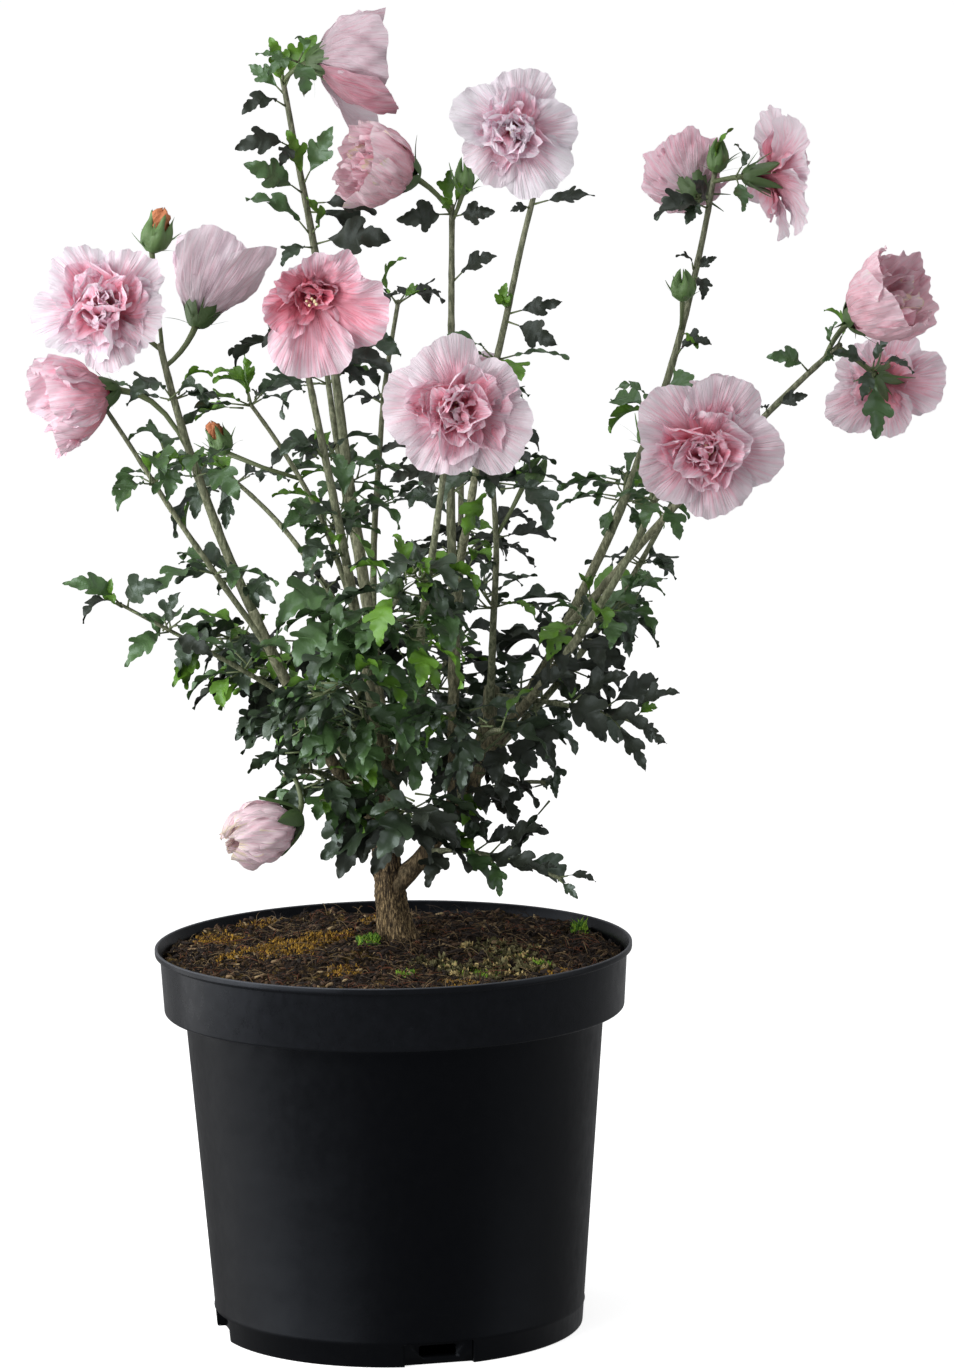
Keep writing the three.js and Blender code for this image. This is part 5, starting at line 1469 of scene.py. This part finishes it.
def potMaterial():
    # injection-moulded black polypropylene: satin, faintly drawn down the wall, with dust and scuffs, a lighter
    # band that is painted light, and a painted highlight along the lip
    material, shader = newMaterial("black polypropylene", 0.36, Specular_IOR_Level=0.145, IOR=1.49,
                                   Specular_Tint=(0.78, 0.86, 1.0, 1.0))
    spot = addNode(material, "TexCoord")["Object"]
    drawn = addNode(material, "Mapping", {"Scale": (1, 1, 0.6)}, {"Vector": spot})[0]
    dust = addNode(material, "TexNoise", {"Scale": lumps(7), "Detail": 8, "Roughness": 0.75},
                   {"Vector": spot})[0]
    scuff = addNode(material, "TexNoise", {"Scale": lumps(6), "Detail": 6, "Roughness": 0.65},
                    {"Vector": drawn})[0]
    grain = addNode(material, "TexNoise", {"Scale": lumps(0.9), "Detail": 3}, {"Vector": spot})[0]
    waves = addNode(material, "TexNoise", {"Scale": lumps(30), "Detail": 2}, {"Vector": spot})[0]
    height = addNode(material, "SeparateXYZ", links={0: spot})["Z"]
    colours = []
    for stops in ([(0.35, "#010102"), (0.62, "#030304"), (0.78, "#0b0c0e")],
                  [(0.35, "#0e0f11"), (0.62, "#131417"), (0.78, "#222327")]):
        colours.append(addNode(material, "ValToRGB", {"stops": stops}, {"Fac": dust})[0])
    paintedBandLight = addNode(material, "MapRange", {1: 186 * mm, 2: 192 * mm}, {0: height})[0]  # the band is lighter: painted light, where it catches more of the lamps
    mixed = addNode(material, "Mix", {"data_type": "RGBA"}, {0: paintedBandLight, 6: colours[0], 7: colours[1]})[2]
    # a painted highlight: a thin pale grey line along the top edge of the lip
    paintedLipHighlight = addNode(material, "MapRange", {1: 227.2 * mm, 2: 227.9 * mm, 3: 0, 4: 0.85}, {0: height})[0]
    lipHighlighted = addNode(material, "Mix", {"data_type": "RGBA", 7: linear("#54565b")}, {0: paintedLipHighlight, 6: mixed})[2]
    link(material, lipHighlighted, shader.inputs["Base Color"])
    rough = addNode(material, "MapRange", {1: 0.3, 2: 0.75, 3: 0.34, 4: 0.46}, {0: scuff})[0]
    handled = addNode(material, "MapRange", {1: 180 * mm, 2: 195 * mm, 3: 0, 4: -0.1}, {0: height})[0]
    rough = addNode(material, "Math", {"operation": "ADD"}, {0: rough, 1: handled})[0]
    link(material, rough, shader.inputs["Roughness"])
    under = addNode(material, "Bump", {"Distance": 1.2 * mm, "Strength": 0.35}, {"Height": waves})[0]
    bump = addNode(material, "Bump", {"Distance": 0.05 * mm, "Strength": 0.5},
                   {"Height": grain, "Normal": under})[0]
    link(material, bump, shader.inputs["Normal"])
    return material


makePot()
print("pot: spun, with", drain["count"], "drain slots")

# ---- compost ----

compost = {
    "level": 216, "mound": 10.7, "bump": 4, "edge": 133.2, "shelf": 195, "bottom": 150, "rough": 3.1,
    "bank": 9.0, "bankWide": 45, "ringSteps": 90, "turnSteps": 220, "clear": 12.5,
}
chips = {"count": 700, "length": (2, 10), "width": (1.2, 3.6), "thick": (0.6, 1.8)}
crumbs = {"count": 7000, "size": (0.5, 1.9)}
fibres = {"count": 2600, "length": (4, 24), "radius": 0.17}
mossPatches = [  # centre, radius, tufts, height, colour
    ((-66, 4), 31, 800, 2.6, "ochre"), ((-40, 28), 22, 460, 2.4, "ochre"), ((-104, 46), 22, 420, 2.4, "ochre"),
    ((-84, 92), 24, 240, 2.2, "ochre"), ((-12, 82), 15, 130, 2.4, "ochre"), ((-28, -62), 14, 160, 2, "ochre"),
    ((-96, -14), 14, 90, 1.8, "ochre"), ((40, -96), 16, 90, 1.8, "ochre"), ((94, -70), 14, 90, 1.8, "ochre"),
    ((-15, 6), 8.5, 240, 5, "bright"), ((8, -72), 8, 80, 2.4, "bright"), ((48, -64), 15, 190, 2.2, "bright"),
    ((70, -26), 13, 150, 2, "bright"), ((86, -46), 7, 70, 4, "bright"), ((112, 62), 9, 90, 5, "bright"),
    ((30, -52), 9, 60, 2.2, "bright"), ((58, -64), 9, 60, 2, "bright"),
]
lichenPatches = [((62, -10), 24, 260), ((74, -50), 22, 260), ((46, -66), 19, 220), ((22, -46), 14, 120)]


def soilHeight(x, y):
    away = math.hypot(x - trunk["foot"][0], y - trunk["foot"][1]) / pot["bandTop"]
    lumps = math.sin(x / 17 + 1) * math.cos(y / 13) + 0.6 * math.sin((x + y) / 9)
    rise = compost["mound"] * (1 - away ** 2) + compost["bump"] * lumps * 0.5 * min(1, away * 3)
    lumpy = noise.fractal(Vector((x / 6, y / 6, 3)), 0.9, 2.1, 5) * compost["rough"]
    edge = compost["edge"]
    up = max(0, math.hypot(x, y) - edge + compost["bankWide"]) / compost["bankWide"]
    # against the wall it is banked up, the most in front and to the left
    bank = compost["bank"] * up * (0.6 - 0.42 * y / edge - 0.12 * x / edge)
    return min(compost["level"] + rise + bank, ground - 0.35) + lumpy


def makeSoil():
    edge, level = compost["edge"], compost["level"]
    shelf, bottom, steps = compost["shelf"], compost["bottom"], compost["ringSteps"]
    profile = [(edge * i / steps, level) for i in range(steps + 1)]
    profile += [(edge - 1.5, shelf), (118, shelf), (115, bottom), (0, bottom)]
    mesh = spun("compost", profile, compost["turnSteps"])
    heights = np.zeros(len(mesh.vertices) * 3)
    mesh.vertices.foreach_get("co", heights)
    heights = heights.reshape(-1, 3)
    for p in heights:
        if p[2] > (level - 1) * mm:
            p[2] = soilHeight(p[0] / mm, p[1] / mm) * mm
    mesh.vertices.foreach_set("co", heights.ravel())
    mesh.polygons.foreach_set("use_smooth", np.ones(len(mesh.polygons), bool))
    newObject("compost", mesh, compostMaterial(), ["soil"])


def compostMaterial():
    # peat and composted bark: dull, darker and a little lighter in patches as painted shade between clumps, with a
    # mossy bloom in patches
    material, shader = newMaterial("peat and bark compost", 0.95, Specular_IOR_Level=0.2)
    spot = addNode(material, "TexCoord")["Object"]
    crumb = addNode(material, "TexNoise", {"Scale": lumps(3.5), "Detail": 8, "Roughness": 0.7},
                    {"Vector": spot})[0]
    patch = addNode(material, "TexNoise", {"Scale": lumps(24), "Detail": 3}, {"Vector": spot})[0]
    patchShade = addNode(material, "TexNoise", {"Scale": lumps(13), "Detail": 4, "Roughness": 0.6},
                   {"Vector": spot})[0]
    colours = []
    for factor, stops in (
        (crumb, [(0.38, "#0c0806"), (0.5, "#2c211a"), (0.6, "#604c39"), (0.68, "#a08866")]),
        (crumb, [(0.38, "#120e06"), (0.5, "#463717"), (0.6, "#80692d"), (0.68, "#ad974a")]),
        (patch, [(0.45, "#000000"), (0.7, "#ffffff")]),
    ):
        colours.append(addNode(material, "ValToRGB", {"stops": stops}, {"Fac": factor})[0])
    peat, mossy, where = colours
    mixed = addNode(material, "Mix", {"data_type": "RGBA"}, {0: where, 6: peat, 7: mossy})[2]
    # painted shade: the colour is scaled darker in patches and a little lighter in others
    patchShade = addNode(material, "MapRange", {1: 0.36, 2: 0.6, 3: 0.3, 4: 1.15}, {0: patchShade})[0]
    patchShaded = addNode(material, "VectorMath", {"operation": "SCALE"}, {0: mixed, "Scale": patchShade})[0]
    link(material, patchShaded, shader.inputs["Base Color"])
    bump = addNode(material, "Bump", {"Distance": 2.2 * mm, "Strength": 1.0}, {"Height": crumb})[0]
    link(material, bump, shader.inputs["Normal"])
    return material


def onSoil(radius, seed):
    turn, out = 2 * math.pi * chance(seed, 1), radius * math.sqrt(chance(seed, 2))
    return out * math.cos(turn), out * math.sin(turn)


def offTrunk(x, y, gap=compost["clear"]):
    return math.hypot(x - trunk["foot"][0], y - trunk["foot"][1]) > gap


def makeChips():
    # flat splinters of composted bark lying every way
    bm = bmesh.new()
    bmesh.ops.create_cube(bm, size=1)
    lengthwise = [e for e in bm.edges if abs(e.verts[0].co.x - e.verts[1].co.x) > 0.5]
    bmesh.ops.subdivide_edges(bm, edges=lengthwise, cuts=2, use_grid_fill=True)
    cube, faces = shapeOf(bm)
    parts = {"dark chip": [], "brown chip": [], "dry chip": []}
    for k in range(chips["count"]):
        x, y = onSoil(compost["edge"] - 4, k + 0.5)
        if not offTrunk(x, y, 14):
            continue
        kinds = enumerate(("length", "width", "thick"))
        size = [between(chips[kind], chance(k, 5 + i) ** 2) for i, kind in kinds]
        jag = np.array([[chance(k * 3 + j, 9 + i) - 0.5 for i in range(3)] for j in range(len(cube))])
        shape = (cube + jag * 0.35) * size
        turn = Quaternion((0, 0, 1), wholeTurn * chance(k, 21))
        turn = turn @ Quaternion((0, 1, 0), 0.9 * (chance(k, 22) - 0.5))
        turn = turn @ Quaternion((1, 0, 0), 1.4 * (chance(k, 23) - 0.5))
        points = shape @ np.array(turn.to_matrix()).T + (x, y, soilHeight(x, y) + size[2] * 0.4)
        draw = chance(k, 24)
        name = "dark chip" if draw < 0.5 else "brown chip" if draw < 0.84 else "dry chip"
        parts[name].append((points, faces))
    colours = {"dark chip": "#2a1f18", "brown chip": "#523d2c", "dry chip": "#8e7758"}
    for name, rows in parts.items():
        plainPiece(name.replace(" ", "_") + "s", rows, "compost", name, colours[name], 0.9, 1.5, 0.5)


def makeCrumbs():
    # loose peat: small broken lumps all over
    ball, faces = smallBall()
    groups = {"dark peat": [], "brown peat": [], "pale peat": []}  # paler to the left
    for k in range(crumbs["count"]):
        x, y = onSoil(compost["edge"] - 1.5, k + 2000.5)
        if not offTrunk(x, y, 12):
            continue
        size = between(crumbs["size"], chance(k, 61) ** 2)
        jag = 1 + 0.7 * (np.array([chance(k * 13 + j, 62) for j in range(len(ball))]) - 0.5)
        turn = Quaternion((chance(k, 64) - 0.5, chance(k, 65) - 0.5, 1), wholeTurn * chance(k, 66))
        shape = (ball * jag[:, None] * (1.7, 0.6, 0.5) * size) @ np.array(turn.to_matrix()).T
        points = shape + (x, y, soilHeight(x, y) + size * 0.25)
        draw = chance(k, 63) + 0.35 * noise.noise(Vector((x / 16, y / 16, 7))) - 0.0008 * x
        name = "dark peat" if draw < 0.64 else "brown peat" if draw < 0.97 else "pale peat"
        groups[name].append((points, faces))
    colours = {"dark peat": "#211812", "brown peat": "#553f2c", "pale peat": "#a8926c"}
    for name, rows in groups.items():
        plainPiece(name.replace(" ", "_"), rows, "compost", name, colours[name], 0.95, 1.0, 0.4)


def makeFibres():
    # dry roots and needles of grass, loosely on the compost
    groups = {"dark fibre": [], "dry fibre": [], "red fibre": []}
    for k in range(fibres["count"]):
        x, y = onSoil(compost["edge"] - 8, k + 900.5)
        long, way = between(fibres["length"], chance(k, 32) ** 3), wholeTurn * chance(k, 33)
        bend, rise = 0.8 * (chance(k, 34) - 0.5), chance(k, 35)
        steps = []
        for t in (0, 0.2, 0.4, 0.6, 0.8, 1):
            heading = Vector((math.cos(way + bend * t), math.sin(way + bend * t)))
            steps.append(Vector((x, y)) + heading * long * (t - 0.5))
        line = []
        if all(here.length < compost["edge"] - 2 and offTrunk(here.x, here.y) for here in steps):
            heights = [soilHeight(here.x, here.y) for here in steps]
            for i, here in enumerate(steps):  # it lies on the two ends of what is under it, stiffly
                t = i / 5
                even = heights[0] * (1 - t) + heights[-1] * t
                lift = 0.9 + 3.5 * rise ** 2 * math.sin(math.pi * t) + (6 * t ** 2 if rise > 0.93 else 0)
                line.append((here.x, here.y, max(even, heights[i] - 0.8) + lift))
        if line:
            radius = fibres["radius"] * (0.6 + 0.9 * chance(k, 36))
            draw = chance(k, 37)
            name = "dark fibre" if draw < 0.56 else "dry fibre" if draw < 0.84 else "red fibre"
            groups[name].append(tube(np.array(line), [radius] * (len(line) - 1) + [radius * 0.4], 4))
    colours = {"dark fibre": "#2c2119", "dry fibre": "#786446", "red fibre": "#6a3c25"}
    for name, rows in groups.items():
        plainPiece(name.replace(" ", "_") + "s", rows, "compost", name, colours[name], 0.85, 1.0, 0.2)


def makeMoss():
    # short pointed shoots in cushions
    sides = 4
    ring = [(math.cos(2 * math.pi * k / sides), math.sin(2 * math.pi * k / sides)) for k in range(sides)]
    faces = ringFaces(2, sides) + [[sides + k, sides + (k + 1) % sides, 2 * sides] for k in range(sides)]
    groups = {"ochre": [], "gold": [], "bright": [], "green": []}
    for number, ((cx, cy), wide, tufts, tall, colour) in enumerate(mossPatches):
        for k in range(int(tufts * 1.6)):
            seed = number * 1500 + k
            turn, out = wholeTurn * chance(seed, 41), wide * math.sqrt(chance(seed, 42))
            out *= 0.75 + 0.5 * noise.noise(Vector((math.cos(turn) * 2, math.sin(turn) * 2, number)))
            x, y = cx + out * math.cos(turn), cy + out * math.sin(turn) * 0.9
            if not offTrunk(x, y) or math.hypot(x, y) > compost["edge"] - 4:
                continue
            high = tall * (0.6 + 1.0 * chance(seed, 43)) * (1 - 0.5 * (out / wide) ** 2)
            thick = 0.42 + 0.3 * chance(seed, 44)
            lean = Vector((chance(seed, 45) - 0.5, chance(seed, 46) - 0.5)) * high * 1.1
            z = soilHeight(x, y) - 0.6
            points = [(x + a * thick, y + b * thick, z) for a, b in ring]
            midX, midY = x + lean.x * 0.5, y + lean.y * 0.5
            points += [(midX + a * thick * 0.9, midY + b * thick * 0.9, z + high * 0.6) for a, b in ring]
            points.append((x + lean.x, y + lean.y, z + high))
            other = {"ochre": "gold", "bright": "green"}[colour]
            groups[colour if chance(seed, 47) < 0.62 else other].append((np.array(points), faces))
    colours = {"ochre": "#7d5d1e", "gold": "#b58c30", "bright": "#86ad33", "green": "#4a7626"}
    for name, rows in groups.items():
        plainPiece("moss_" + name, rows, "compost", name + " moss", colours[name], 0.9, 0.8, 0.3)


def makeLichen():
    # curled grey-green and tan crusts
    places, faces = gridSheet(5, 5)
    groups = {"grey": [], "tan": [], "olive": []}
    for number, ((cx, cy), wide, count) in enumerate(lichenPatches):
        for k in range(count):
            seed = 3000 + number * 400 + k
            turn, out = wholeTurn * chance(seed, 51), wide * math.sqrt(chance(seed, 52))
            x, y = cx + out * math.cos(turn), cy + out * math.sin(turn)
            size = 0.6 + 1.7 * chance(seed, 53) ** 2
            u, v = places[:, 0], places[:, 1]
            lift = 0.6 * (u ** 2 + v ** 2) + 0.5 * np.sin(u * 4 + seed) + 0.4 * np.cos(v * 5 + seed)
            local = np.stack([u * (1 - 0.3 * v ** 2), v * (1 - 0.3 * u ** 2), lift], 1) * size
            tilt = Quaternion((1, 0, 0), 2.6 * (chance(seed, 54) - 0.4))
            tilt = tilt @ Quaternion((0, 0, 1), wholeTurn * chance(seed, 55))
            points = local @ np.array(tilt.to_matrix()).T + (x, y, soilHeight(x, y) + size * 0.5)
            draw = chance(seed, 56)
            name = "olive" if draw < 0.45 else "grey" if draw < 0.8 else "tan"
            groups[name].append((points, faces))
    colours = {"grey": "#77724f", "tan": "#c4b079", "olive": "#4b4728"}
    for name, rows in groups.items():
        plainPiece("lichen_" + name, rows, "compost", name + " lichen", colours[name], 0.95, 1.2, 0.6)


makeSoil()
makeCrumbs()
makeChips()
makeFibres()
makeMoss()
makeLichen()
print("compost: crumbs, chips, fibres, moss and lichen")

# ---- triangles in all ----

total = sum(triangles(o.data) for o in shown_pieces() if o.type == "MESH")
print("triangles in all:", total)
